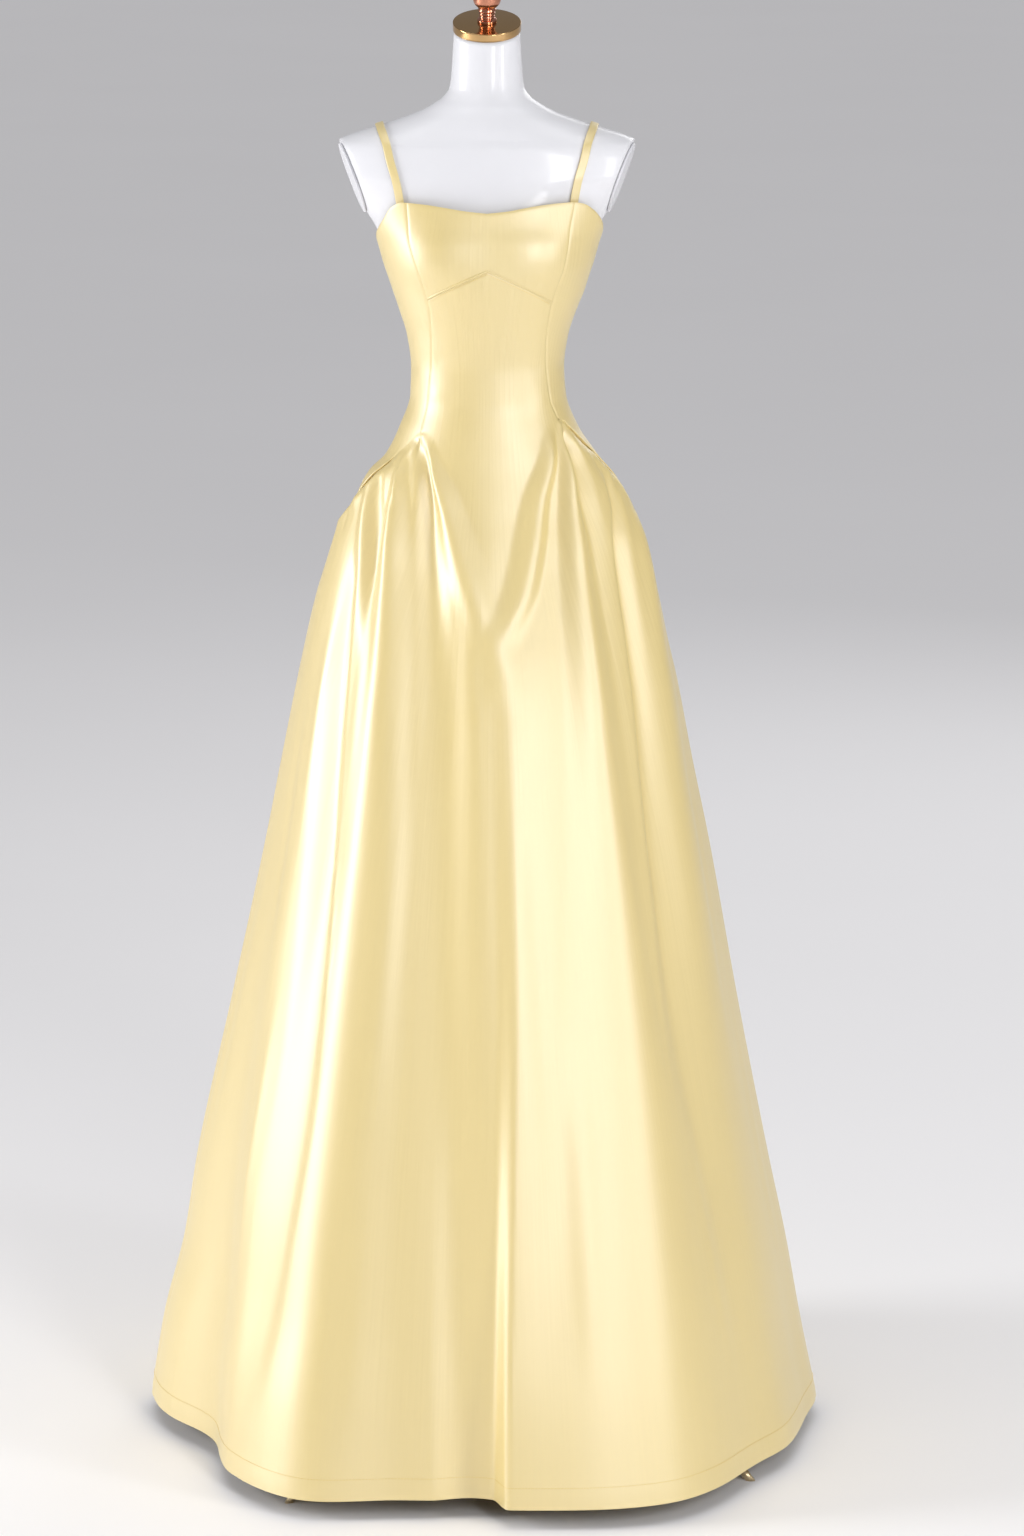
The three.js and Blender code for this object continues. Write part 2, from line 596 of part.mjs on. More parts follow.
// Each back panel runs from the centre-back seam, top edge to hem, and widens under the hip line.
function backPanel(side) {
  const sign = side === 'left' ? -1 : 1;
  const [centre, corner] = [180 * sign, BACK_CORNER * sign];
  const columns = BACK_COLUMNS.map((a) => a * sign).sort((a, b) => a - b);
  const middle = columns.filter((a) => Math.abs(a) >= BACK_CORNER);
  const seam = (z) => read(PRINCESS, 'z', z, 'back') * sign;
  const upper = SHARES[side].map((down) => middle.map((column) => {
    const share = (centre - column) / (centre - corner);
    const top = topLine(centre - (centre - seam(TOP_HEIGHT)) * share);
    const z = top + (hipLine(column) - top) * down;
    const angle = centre - (centre - seam(seamHeight(seam, corner, down))) * share;
    const inset = column === corner ? sign : column === centre ? -sign : 0;
    return { angle: angle + inset * halfSeam(angle, z), z };
  }));
  const skirt = skirtRows(columns, (a) => Math.abs(a) < BACK_CORNER);
  const start = columns.indexOf(middle[0]);
  upper[upper.length - 1].forEach((point, i) => {
    skirt[0][start + i] = point;
  });
  return piece(`back_${side}`, clothWall([upper, skirt]), SATIN);
}

// ---- the form -----------------------------------------------------------------------------
function armPlane(sign) {
  const down = ARM_PLATE.down * RADIANS;
  const forward = ARM_PLATE.forward * RADIANS;
  const normal = new THREE.Vector3(
    sign * Math.cos(down) * Math.cos(forward),
    -Math.cos(down) * Math.sin(forward),
    -Math.sin(down),
  );
  return { normal, point: new THREE.Vector3(sign * ARM_PLATE.x, 0, ARM_PLATE.z) };
}

const ARM_PLANES = [armPlane(-1), armPlane(1)];

function torsoRadius(angle, z) {
  const across = read(TORSO, 'z', z, 'side');
  const along = read(TORSO, 'z', z, Math.abs(turn(angle)) < 90 ? 'front' : 'back');
  let radius = ring(angle, across, along, read(TORSO, 'z', z, 'square'));
  for (const { normal, point } of ARM_PLANES) {
    const out = place(1, angle, 0).dot(normal);
    if (out > 0.2) radius = Math.min(radius, (normal.dot(point) - normal.z * z) / out);
  }
  return radius;
}

function neckTopHeight(y) {
  const tilt = NECK_CAP.tilt * RADIANS;
  const bottom = NECK_CAP.top - (NECK_CAP.thick + PLACE_GAP) / Math.cos(tilt);
  return bottom + y * Math.tan(tilt);
}

function torso() {
  const heights = TORSO.filter((row) => row.z < 1700).map((row) => row.z).reverse();
  const angles = Array.from({ length: 36 }, (_, i) => i * 10);
  const rings = heights.map((z) => angles.map((a) => place(torsoRadius(a, z), a, z)));
  const neck = TORSO[0];
  rings.push(angles.map((a) => {
    const p = place(neck.side - 0.5, a, 0);
    return p.setZ(neckTopHeight(p.y));
  }));
  return piece('form_torso', ringSolid(rings), FORM_COVER);
}

function armPlates() {
  return ARM_PLANES.map(({ normal, point }, i) => {
    const disc = new THREE.CylinderGeometry(1, 1, ARM_PLATE.thick, 28);
    disc.scale(ARM_PLATE.halfWidth, 1, ARM_PLATE.halfHeight);
    const mesh = piece(`form_arm_plate_${i ? 'right' : 'left'}`, disc, ARM_COVER);
    const level = new THREE.Vector3(0, 0, 1).cross(normal).normalize();
    const up = normal.clone().cross(level);
    mesh.quaternion.setFromRotationMatrix(new THREE.Matrix4().makeBasis(level, normal, up.clone().negate()));
    mesh.position.copy(point).addScaledVector(normal, ARM_PLATE.thick / 2 + PLACE_GAP);
    return mesh;
  });
}

function neckTop() {
  const tilt = NECK_CAP.tilt * RADIANS;
  const group = new THREE.Group();
  const capMesh = piece('form_neck_cap', cylinder(NECK_CAP.radius, NECK_CAP.thick, 40), GOLD);
  capMesh.position.z = -NECK_CAP.thick / 2;
  const finial = piece('form_finial', turned(FINIAL_PROFILE, 16), COPPER);
  finial.position.z = PLACE_GAP;
  group.add(capMesh, finial);
  group.rotation.x = tilt;
  group.position.z = NECK_CAP.top;
  return group;
}

// ---- the stand ----------------------------------------------------------------------------
function leg(index) {
  const angle = LEG.firstAngle + (index * 360) / LEG.count;
  const out = place(1, angle, 0);
  const across = new THREE.Vector3(out.y, -out.x, 0);
  const centre = LEG_LINE.map((row) => out.clone().multiplyScalar(row.reach).setZ(row.z));
  const rings = LEG_LINE.map((row, i) => {
    const ahead = centre[Math.min(i + 1, centre.length - 1)];
    const along = ahead.clone().sub(centre[Math.max(i - 1, 0)]).normalize();
    const rise = along.clone().cross(across).normalize();
    return Array.from({ length: LEG.sides }, (_, k) => {
      const turnAngle = ((k + 0.5) / LEG.sides) * 2 * Math.PI;
      const p = centre[i].clone()
        .addScaledVector(across, row.halfWidth * Math.cos(turnAngle))
        .addScaledVector(rise, row.halfHeight * Math.sin(turnAngle));
      if (i === centre.length - 1) p.addScaledVector(along, -p.z / along.z).setZ(0);
      return p;
    });
  });
  return piece(`stand_leg_${index + 1}`, ringSolid(rings), STAND_METAL);
}

function stand() {
  const top = FORM_BOTTOM - PLACE_GAP;
  const flangeMesh = piece('stand_flange', cylinder(FLANGE.radius, FLANGE.thick, 28), STAND_METAL);
  flangeMesh.position.z = top - FLANGE.thick / 2;
  const poleTop = top - FLANGE.thick - PLACE_GAP;
  const poleBottom = HUB_PROFILE[HUB_PROFILE.length - 1].z + PLACE_GAP;
  const poleMesh = piece('stand_pole', cylinder(POLE.radius, poleTop - poleBottom, 20), STAND_METAL);
  poleMesh.position.z = (poleTop + poleBottom) / 2;
  const legs = Array.from({ length: LEG.count }, (_, i) => leg(i));
  return [flangeMesh, poleMesh, piece('stand_hub', turned(HUB_PROFILE, 20), STAND_METAL), ...legs];
}

// ---- shoulder straps ----------------------------------------------------------------------
// A strap follows the form from the front joint over the shoulder to the back top edge.
const STRAP_LINE = table('elevation x', [
  [20, 103], [34, 107], [55, 118], [80, 128], [100, 130], [120, 124], [150, 106], [180, 92], [204, 84],
]);
const STRAP_CENTRE = 1510;

function formReach(x, elevation) {
  const [dy, dz] = [-Math.cos(elevation * RADIANS), Math.sin(elevation * RADIANS)];
  let [inside, outside] = [0, 260];
  for (let i = 0; i < 40; i += 1) {
    const d = (inside + outside) / 2;
    const y = dy * d;
    const angle = Math.atan2(x, -y) / RADIANS;
    if (Math.hypot(x, y) < torsoRadius(angle, STRAP_CENTRE + dz * d)) inside = d;
    else outside = d;
  }
  return inside;
}

function strapPoint(sign, elevation, across, lift) {
  const x = read(STRAP_LINE, 'elevation', elevation, 'x') + across;
  const d = formReach(x, elevation) + lift;
  const [dy, dz] = [-Math.cos(elevation * RADIANS), Math.sin(elevation * RADIANS)];
  return new THREE.Vector3(sign * x, dy * d, STRAP_CENTRE + dz * d);
}

function strapRing(sign, elevation, lift) {
  const half = STRAP.width / 2;
  const corners = [[-half, lift], [half, lift], [half, lift + STRAP.thick], [-half, lift + STRAP.thick]];
  return corners.map(([across, out]) => strapPoint(sign, elevation, across, out));
}

// The first elevation, stepping from one end, where the whole ring clears the bodice's top edge.
function strapEnd(sign, from, step) {
  const clears = (p) => p.z > topLine(Math.atan2(p.x, -p.y) / RADIANS) + STRAP.jointGap;
  let elevation = from;
  while (!strapRing(sign, elevation, STRAP.jointLift).every(clears)) elevation += step;
  return elevation;
}

function strap(side) {
  const sign = side === 'left' ? -1 : 1;
  const start = strapEnd(sign, STRAP_LINE[0].elevation - 8, 0.1);
  const end = strapEnd(sign, STRAP_LINE[STRAP_LINE.length - 1].elevation + 8, -0.1);
  const rings = spread(0, 1, 1 / STRAP.steps).map((t) => {
    const nearJoint = 1 - smooth(Math.min(t, 1 - t) / 0.16);
    const lift = STRAP.lift + (STRAP.jointLift - STRAP.lift) * nearJoint;
    const ringPoints = strapRing(sign, start + (end - start) * t, lift);
    return sign > 0 ? ringPoints.reverse() : ringPoints;
  });
  return piece(`strap_${side}`, ringSolid(rings), SATIN);
}

// ---- the whole ----------------------------------------------------------------------------
const dress = new THREE.Group();
dress.add(bustPanel(), frontPanel(), ...sidePanels(), backPanel('left'), backPanel('right'));
dress.add(strap('left'), strap('right'));

const form = new THREE.Group();
form.add(torso(), ...armPlates(), neckTop(), ...stand());

const promDress = new THREE.Group();
promDress.add(dress, form);

export default promDress;
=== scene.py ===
import math

import bpy
import numpy as np
from bpy.props import FloatProperty, FloatVectorProperty, PointerProperty
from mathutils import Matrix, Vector


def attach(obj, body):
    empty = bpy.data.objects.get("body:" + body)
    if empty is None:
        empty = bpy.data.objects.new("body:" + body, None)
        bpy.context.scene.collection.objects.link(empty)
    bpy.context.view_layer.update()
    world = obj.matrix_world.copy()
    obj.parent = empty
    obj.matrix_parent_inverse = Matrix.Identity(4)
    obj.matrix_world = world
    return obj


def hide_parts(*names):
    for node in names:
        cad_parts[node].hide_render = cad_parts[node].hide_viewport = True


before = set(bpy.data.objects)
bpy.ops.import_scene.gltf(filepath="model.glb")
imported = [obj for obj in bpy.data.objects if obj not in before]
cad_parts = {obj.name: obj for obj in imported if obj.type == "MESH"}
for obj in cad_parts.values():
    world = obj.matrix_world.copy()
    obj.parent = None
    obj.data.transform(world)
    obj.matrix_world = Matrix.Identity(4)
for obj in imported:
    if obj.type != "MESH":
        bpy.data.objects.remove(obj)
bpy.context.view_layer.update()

bl_info = {
    "name": "Prom Dress",
    "version": (1, 0, 0),
    "blender": (4, 5, 0),
    "location": "View3D > Sidebar > Prom Dress",
    "description": "Satin panels, straps and sewing of a prom dress, with its dress form and stand",
    "category": "Object",
}

MM = 0.001
RADIANS = math.pi / 180
BODY = "root"

# The front faces -Y. Left and right are as seen from in front: right is towards +X.
# Shapes are worked out in millimetres. Angles go round the pole in degrees: 0 is the centre
# front, positive towards +X, 180 the centre back.


# ---- tables read smoothly -----------------------------------------------------------------
class Table:
    """Rows of named columns against the first, read by a monotone cubic that never overshoots."""

    def __init__(self, names, rows):
        data = np.array(rows, float)
        if data[0, 0] > data[-1, 0]:
            data = data[::-1]
        self.names = names.split()
        self.rows = data
        self.keys = data[:, 0]
        self.step = np.diff(self.keys)
        slope = np.diff(data, axis=0) / self.step[:, None]
        before, after = slope[:-1], slope[1:]
        together = before * after > 0
        whole = np.where(together, before + after, 1)
        middle = np.where(together, 2 * before * after / whole, 0)
        self.tangent = np.vstack([slope[:1], middle, slope[-1:]])

    def read(self, value, name):
        column = self.names.index(name)
        value = np.clip(value, self.keys[0], self.keys[-1])
        i = np.clip(np.searchsorted(self.keys, value, side="right") - 1, 0, len(self.step) - 1)
        t = (value - self.keys[i]) / self.step[i]
        start = self.rows[i, column]
        change = self.rows[i + 1, column] - start
        m0 = self.tangent[i, column] * self.step[i]
        m1 = self.tangent[i + 1, column] * self.step[i]
        return start + t * (m0 + t * (3 * change - 2 * m0 - m1 + t * (m0 + m1 - 2 * change)))


HEM_HEIGHT = 24
TOP_HEIGHT = 1541
UNDER_BUST_HEIGHT = 1420
SIDE_SEAM = 92
# Where the princess seams meet the hip seam.
FRONT_CORNER = {"left": -51, "right": 60}
BACK_CORNER = 140
SEAM_GAP = 0.06
BUST_CUP = {"angle": 33, "z": 1480, "out": 7, "across": 19, "up": 34}
# How far below the hip seam the skirt reaches its own shape, at the sides and how much further
# at the front and back, and how far below it the folds reach their full depth.
SKIRT_REACH = {"side": 24, "further": 80, "folds": 30}

# Bodice: half widths to each side, depths to front and back, and how square the ring is.
BODICE = Table("z left right front back square", [
    [1560, 160, 163, 94, 88, 2.3],
    [1540, 153, 156, 98, 92, 2.3],
    [1513, 144, 146, 103, 94, 2.3],
    [1490, 133.5, 137, 108, 94, 2.3],
    [1462, 125.5, 129, 110, 92, 2.3],
    [1444, 119.5, 123, 108, 90, 2.25],
    [1426, 113.5, 117.5, 104, 88, 2.2],
    [1408, 107.5, 110, 99, 86, 2.2],
    [1371, 96.5, 98, 89, 81, 2.2],
    [1335, 92, 93.5, 83, 78, 2.2],
    [1300, 93, 96, 84, 78, 2.2],
    [1262, 105.5, 110, 91, 85, 2.2],
    [1225, 124, 135, 98, 95, 2.2],
    [1206, 143, 150, 102, 101, 2.2],
    [1187, 154, 161, 106, 107, 2.2],
    [1155, 166, 173, 112, 115, 2.2],
])

# The skirt's mean shape, under its folds.
SKIRT = Table("z left right front back square", [
    [1280, 100, 104, 88, 84, 2.2],
    [1243, 120, 126, 95, 94, 2.2],
    [1225, 132, 139, 98, 100, 2.2],
    [1206, 149, 153, 103, 108, 2.15],
    [1169, 169, 173, 114, 124, 2.1],
    [1132, 184, 189, 128, 142, 2.05],
    [1095, 196, 200, 143, 159, 2],
    [1046, 210, 211, 164, 179, 2],
    [996, 221, 221, 185, 197, 2],
    [946, 231, 232, 203, 214, 2],
    [846, 250, 249.5, 232, 243, 2],
    [745, 269, 269, 259, 268, 2],
    [542, 310.5, 303.5, 310, 314, 2],
    [337, 353, 342, 359, 358, 2],
    [234, 368, 363, 382, 378, 2],
    [130, 393, 381, 404, 397, 2],
    [HEM_HEIGHT, 409, 402, 421, 412, 2],
])

# The form: the bust and hips stay inside the cloth, the shoulders and neck show.
TORSO = Table("z side front back square", [
    [1770, 40, 40, 40, 2],
    [1714, 41, 41, 41, 2],
    [1690, 42.5, 43, 43, 2],
    [1671, 45, 47, 46, 2],
    [1660, 52, 51, 49, 2],
    [1652, 63, 55, 52, 2],
    [1643, 79, 58, 55, 2],
    [1634, 103, 62, 58, 2],
    [1624, 134, 66, 61, 2],
    [1614, 165, 69, 64, 2.1],
    [1604, 184, 73, 68, 2.2],
    [1590, 190, 76, 73, 2.3],
    [1570, 186, 80, 78, 2.4],
    [1552, 170, 82, 82, 2.3],
    [1530, 152, 86, 85, 2.15],
    [1513, 139, 91, 87, 2.2],
    [1495, 129.5, 98, 89, 2.3],
    [1475, 122.5, 103, 88, 2.3],
    [1444, 116, 102, 86, 2.25],
    [1408, 104, 94, 81, 2.2],
    [1371, 93, 84, 76, 2.2],
    [1335, 88, 78, 73, 2.2],
    [1300, 90, 79, 73, 2.2],
    [1262, 101, 83, 79, 2.2],
    [1225, 117, 85, 85, 2.2],
    [1187, 134, 86, 90, 2.2],
    [1150, 140, 86, 92, 2.2],
    [1112, 138, 82, 88, 2.2],
    [1092, 128, 74, 80, 2.2],
    [1084, 112, 62, 68, 2.1],
])

# Seam lines: the top edge, the under-bust seam, the princess seams and the slanting hip seam.
TOP_EDGE = Table("angle left right", [
    [0, 1530, 1530], [14, 1532.5, 1532.5], [28, 1536.5, 1537], [42, 1540, 1540.5],
    [52, 1541, 1541.5], [58, 1535, 1539], [64, 1519, 1531], [71, 1506, 1519], [80, 1496, 1505],
    [92, 1487, 1491], [108, 1481, 1482], [135, 1476, 1476], [180, 1473, 1473],
])
UNDER_BUST = Table("angle z", [[0, 1461], [17, 1446], [34, 1430], [45, 1420], [60, 1412]])
PRINCESS = Table("z left right back", [
    [1545, -50, 54, 134],
    [1497, -46.5, 49, 137],
    [1455, -41, 46, 140],
    [1420, -40, 44.5, 142],
    [1383, -43, 46.6, 143],
    [1336, -48.5, 51.5, 142],
    [1300, -51.5, 54.5, 141],
    [1281, -52, 58, 140],
    [1262, -51, 60, 140],
])
HIP = Table("angle z", [
    [-180, 1262], [-140, 1262], [-128, 1234], [-116, 1196], [-104, 1168], [-95, 1158],
    [-87, 1170], [-79, 1198], [-70, 1228], [-60, 1248], [-51, 1264], [60, 1276], [70, 1260],
    [80, 1236], [88, 1203], [95, 1172], [102, 1160], [112, 1172], [122, 1204], [132, 1240],
    [140, 1262], [180, 1262],
])


# Each fold runs down the skirt: its line, how far it stands out (+) or in (-), and how many
# degrees it takes to die away on each side.
def fold(*rows):
    return Table("z angle depth before after", rows)


FOLDS = {
    "left_front_valley": fold(
        [1262, -51, 0, 5, 5], [1225, -40.5, -5, 7, 5], [1150, -32, -9, 9, 9],
        [959, -18.5, -9, 13, 15], [729, -15, -10, 14, 16], [400, -11, -15, 18, 15],
        [HEM_HEIGHT, -8, -28, 22, 12]),
    "left_front_band": fold(
        [1276, -51, 0, 6, 6], [1239, -40, 4, 5, 7], [1186, -26, 8, 7, 12], [1110, -13, 8, 9, 14],
        [1050, -5, 5, 9, 12], [985, -1, 0, 10, 12]),
    "left_front_ridge": fold(
        [1240, -59, 0, 4, 4], [1200, -54, 7, 5, 7], [1131, -47, 13, 8, 9],
        [977, -37.5, 12, 11, 11], [768, -34, 12, 14, 13], [437, -33, 15, 18, 15],
        [HEM_HEIGHT, -33, 26, 22, 18]),
    "left_side_notch": fold(
        [1222, -72, 0, 4, 4], [1196, -65, -3.5, 5, 5], [1135, -56.7, -4, 6, 5.5],
        [1000, -50, -2.2, 6, 5], [850, -47, 0, 6, 6]),
    "left_side_ridge": fold(
        [1215, -75, 0, 5, 5], [1181, -69.3, 3.8, 5.5, 5], [1114, -60, 5.2, 6.5, 6],
        [974, -47, 3.8, 6.5, 5.5], [776, -42, 0, 6, 6]),
    "left_crease": fold(
        [1120, -64, 0, 8, 3], [1075, -60.4, -4, 9, 3], [948, -53, -7, 11, 3],
        [750, -45.5, -8, 12, 2.5], [454, -40, -9, 12, 2.5], [242, -41.5, -7, 12, 3],
        [90, -44, 0, 12, 4]),
    "left_side_hollow": fold(
        [1000, -80, 0, 14, 14], [700, -74, -6, 16, 16], [400, -70, -18, 19, 17],
        [HEM_HEIGHT, -66, -42, 22, 19]),
    "left_side_wave": fold(
        [1130, -100, 0, 14, 14], [700, -98, 5, 16, 16], [HEM_HEIGHT, -98, 16, 18, 16]),
    "centre_edge": fold(
        [1066, 1, 0, 12, 8], [900, 1.8, -2.4, 13, 7], [616, 2, -7, 13, 5.5],
        [385, 1.6, -14, 13, 3.8], [154, 1.2, -25, 12, 2.6], [HEM_HEIGHT, 1, -34, 11, 2.4]),
    "right_front_band": fold(
        [1290, 52, 0, 7, 6], [1255, 45, 5, 8, 6], [1229, 40.5, 7, 9, 7], [1187, 31, 8, 11, 8],
        [1140, 24.5, 9, 12, 9], [1081, 16.5, 8, 12, 9], [1016, 5.5, 5, 9, 10],
        [940, 5, 0, 8, 10]),
    "right_pocket": fold(
        [1270, 64, 0, 4, 6], [1252, 58.5, -7, 4, 7], [1224, 58.5, -7, 5, 8],
        [1180, 55, -4, 6, 9], [1110, 52, 0, 6, 9]),
    "right_front_ridge": fold(
        [1266, 56, 0, 4, 4], [1210, 49.5, 8, 6, 6], [1132, 44, 11, 9, 9], [1035, 39.5, 11, 11, 10],
        [895, 36.5, 10, 13, 11], [723, 35.5, 11, 16, 13], [453, 34, 18, 21, 18],
        [HEM_HEIGHT, 30, 34, 30, 27]),
    "right_side_valley": fold(
        [1222, 76, 0, 4, 4], [1178, 73.5, -8, 4, 6], [1126, 66, -10, 4, 8],
        [992, 58.5, -10, 4, 9], [885, 54.4, -9, 4, 10], [740, 50.8, -8, 4, 12],
        [567, 49.5, -6, 6, 13], [300, 54, -2, 12, 14], [HEM_HEIGHT, 62, 4, 16, 16]),
    "right_side_ridge": fold(
        [1190, 88, 0, 6, 6], [1120, 82, 5, 8, 9], [950, 72, 6, 9, 12], [700, 67, 5, 11, 14],
        [350, 72, 0, 14, 14]),
    "right_side_wave": fold(
        [1100, 100, 0, 14, 14], [650, 96, 6, 15, 16], [HEM_HEIGHT, 95, 13, 16, 18]),
    "left_back_notch": fold(
        [1190, -110, 0, 4, 4], [1140, -115, -9, 5, 6], [930, -121, -8, 7, 8],
        [560, -121, -12, 11, 12], [HEM_HEIGHT, -119, -32, 15, 16]),
    "left_back_ridge": fold(
        [1240, -128, 0, 4, 4], [1150, -130, 12, 7, 7], [860, -138, 11, 11, 10],
        [437, -140, 14, 15, 14], [HEM_HEIGHT, -142, 24, 18, 16]),
    "left_back_valley": fold(
        [1256, -138, 0, 5, 5], [1180, -143, -13, 8, 8], [959, -153, -18, 11, 12],
        [600, -161, -24, 14, 13], [HEM_HEIGHT, -165, -42, 17, 14]),
    "centre_back_ridge": fold(
        [1000, 180, 0, 12, 12], [600, 178, 7, 13, 14], [HEM_HEIGHT, 176, 20, 16, 18]),
    "right_back_valley": fold(
        [1256, 138, 0, 5, 5], [1170, 144, -13, 8, 8], [950, 151, -19, 12, 11],
        [600, 155, -24, 13, 14], [HEM_HEIGHT, 156, -40, 16, 17]),
    "right_back_ridge": fold(
        [1240, 127, 0, 4, 4], [1140, 129, 11, 7, 7], [850, 134, 10, 10, 11],
        [437, 134, 13, 14, 15], [HEM_HEIGHT, 133, 22, 15, 18]),
    "right_back_notch": fold(
        [1195, 110, 0, 4, 4], [1130, 113, -8, 6, 5], [900, 116, -8, 8, 7],
        [500, 115, -12, 12, 11], [HEM_HEIGHT, 113, -26, 14, 14]),
}


# Crisper crests (+) and bottoms (-) that run along the folds, with their width in millimetres.
def pleat(*rows):
    return Table("z angle out wide", rows)


PLEATS = {
    "v_left_hollow": pleat(
        [1080, -14, 0, 14], [1010, -11.5, -3, 18], [900, -10.5, -5, 22], [729, -9.5, -5.5, 25],
        [400, -7, -5, 26], [HEM_HEIGHT, -6, -3, 26]),
    "v_crest": pleat(
        [1250, -3, 0, 44], [1160, -3, 4, 40], [1100, -1.5, 5, 28], [1045, 0.5, 3, 17],
        [1000, 2, 0, 12]),
    "left_front_ridge": pleat(
        [1240, -60, 0, 5], [1200, -54, 1.1, 9.5], [1114, -46.5, 1.7, 13.5], [954, -38.5, 1.8, 17.6],
        [744, -35.9, 1.7, 20.2], [437, -33.4, 1.8, 25.7], [171, -32, 2.1, 32.4],
        [HEM_HEIGHT, -30, 2.25, 37.8]),
    "left_front_valley": pleat(
        [1256, -45, 0, 5], [1186, -35.9, -0.8, 10.8], [1038, -21.9, -1.3, 18.9],
        [844, -16.6, -1.1, 27], [556, -12.8, -1.3, 32.4], [349, -9.6, -1.2, 29.7],
        [HEM_HEIGHT, -11, 0, 29.7]),
    "left_side_ridge": pleat(
        [1200, -72, 0, 5], [1150, -64, 0.9, 8.1], [1065, -53.4, 1.3, 10.8], [951, -45.5, 1, 12.2],
        [776, -41.6, 0, 12.2]),
    "left_crease": pleat(
        [1110, -62, 0, 3], [1040, -58, 0.9, 3], [855, -48.6, 1.3, 3.4], [630, -40.4, 1.3, 3.6],
        [328, -39.9, 1.2, 4], [102, -43.5, 0.6, 5]),
    "left_side": pleat(
        [1130, -72, 0, 21.6], [1061, -64.9, 1.2, 24.3], [931, -60.3, 1.9, 29.7],
        [788, -58.8, 1.8, 35.1], [584, -65, 1.8, 40.5], [332, -63.4, 2, 45.9],
        [94, -64.9, 2.5, 51.3], [HEM_HEIGHT, -65, 2.5, 51.3]),
    "v_right_arm": pleat(
        [1262, 50, 0, 4], [1229, 40.6, 1.1, 9.5], [1187, 31.2, 1.4, 10.8], [1135, 24.2, 1.4, 12.2],
        [1081, 16.3, 1.2, 12.2], [1045, 10.1, 0.8, 12.2], [1016, 4.7, 0, 12.2]),
    "centre": pleat(
        [985, 6, 0, 16.2], [901, 6.3, 1.3, 21.6], [731, 6.5, 1.6, 27], [385, 6.5, 1.7, 32.4],
        [130, 6.2, 1.2, 35.1], [HEM_HEIGHT, 6, 1, 35.1]),
    "right_front_ridge": pleat(
        [1262, 56, 0, 4], [1210, 49.4, 1.3, 9.5], [1132, 44, 1.7, 13.5], [1013, 38.9, 1.7, 16.2],
        [895, 36.5, 1.7, 18.9], [570, 34.9, 1.7, 27], [336, 33, 1.5, 35.1],
        [HEM_HEIGHT, 30, 1.5, 40.5]),
    "right_side_valley": pleat(
        [1210, 76, 0, 4], [1155, 67.8, -1.1, 10.8], [1004, 59.1, -1.3, 16.2],
        [885, 54.4, -1.2, 17.6], [734, 51.3, -1, 20.2], [437, 48.3, -0.6, 24.3],
        [295, 46.4, 0, 24.3]),
    "right_side": pleat(
        [1160, 84, 0, 13.5], [1060, 75, 1.1, 16.2], [820, 65, 1.3, 21.6], [480, 62, 1, 29.7],
        [200, 64, 1.3, 37.8], [HEM_HEIGHT, 64, 1.5, 37.8]),
    "left_back_notch": pleat(
        [1190, -116, 0, 8.1], [1100, -117, -1.2, 13.5], [760, -121, -1.1, 21.6],
        [HEM_HEIGHT, -119, -1.5, 35.1]),
    "left_back_ridge": pleat(
        [1225, -129, 0, 8.1], [1120, -131, 1.5, 13.5], [860, -138, 1.6, 20.2], [437, -140, 1.7, 27],
        [HEM_HEIGHT, -142, 2.1, 37.8]),
    "left_back_valley": pleat(
        [1230, -141, 0, 8.1], [1100, -147, -1.1, 16.2], [700, -159, -1.2, 27],
        [HEM_HEIGHT, -165, -1.5, 35.1]),
    "centre_back": pleat(
        [940, 179, 0, 16.2], [700, 178, 1.5, 24.3], [HEM_HEIGHT, 176, 1.7, 40.5]),
    "right_back_valley": pleat(
        [1230, 141, 0, 8.1], [1090, 147, -1.2, 16.2], [660, 154.5, -1.3, 27],
        [HEM_HEIGHT, 156, -1.5, 35.1]),
    "right_back_ridge": pleat(
        [1225, 128, 0, 8.1], [1100, 130, 1.4, 13.5], [850, 134, 1.6, 20.2], [437, 134, 1.6, 27],
        [HEM_HEIGHT, 133, 2, 37.8]),
    "right_back_notch": pleat(
        [1185, 112, 0, 8.1], [1080, 114, -1.1, 13.5], [760, 116, -1, 21.6],
        [HEM_HEIGHT, 113, -1.5, 32.4]),
    "left_side_wave": pleat(
        [1100, -96, 0, 13.5], [900, -97, 1.2, 21.6], [500, -98, 1.3, 32.4],
        [HEM_HEIGHT, -98, 1.7, 43.2]),
    "right_side_wave": pleat(
        [1060, 99, 0, 13.5], [820, 97, 1.1, 21.6], [450, 95, 1.3, 32.4],
        [HEM_HEIGHT, 95, 1.6, 43.2]),
}

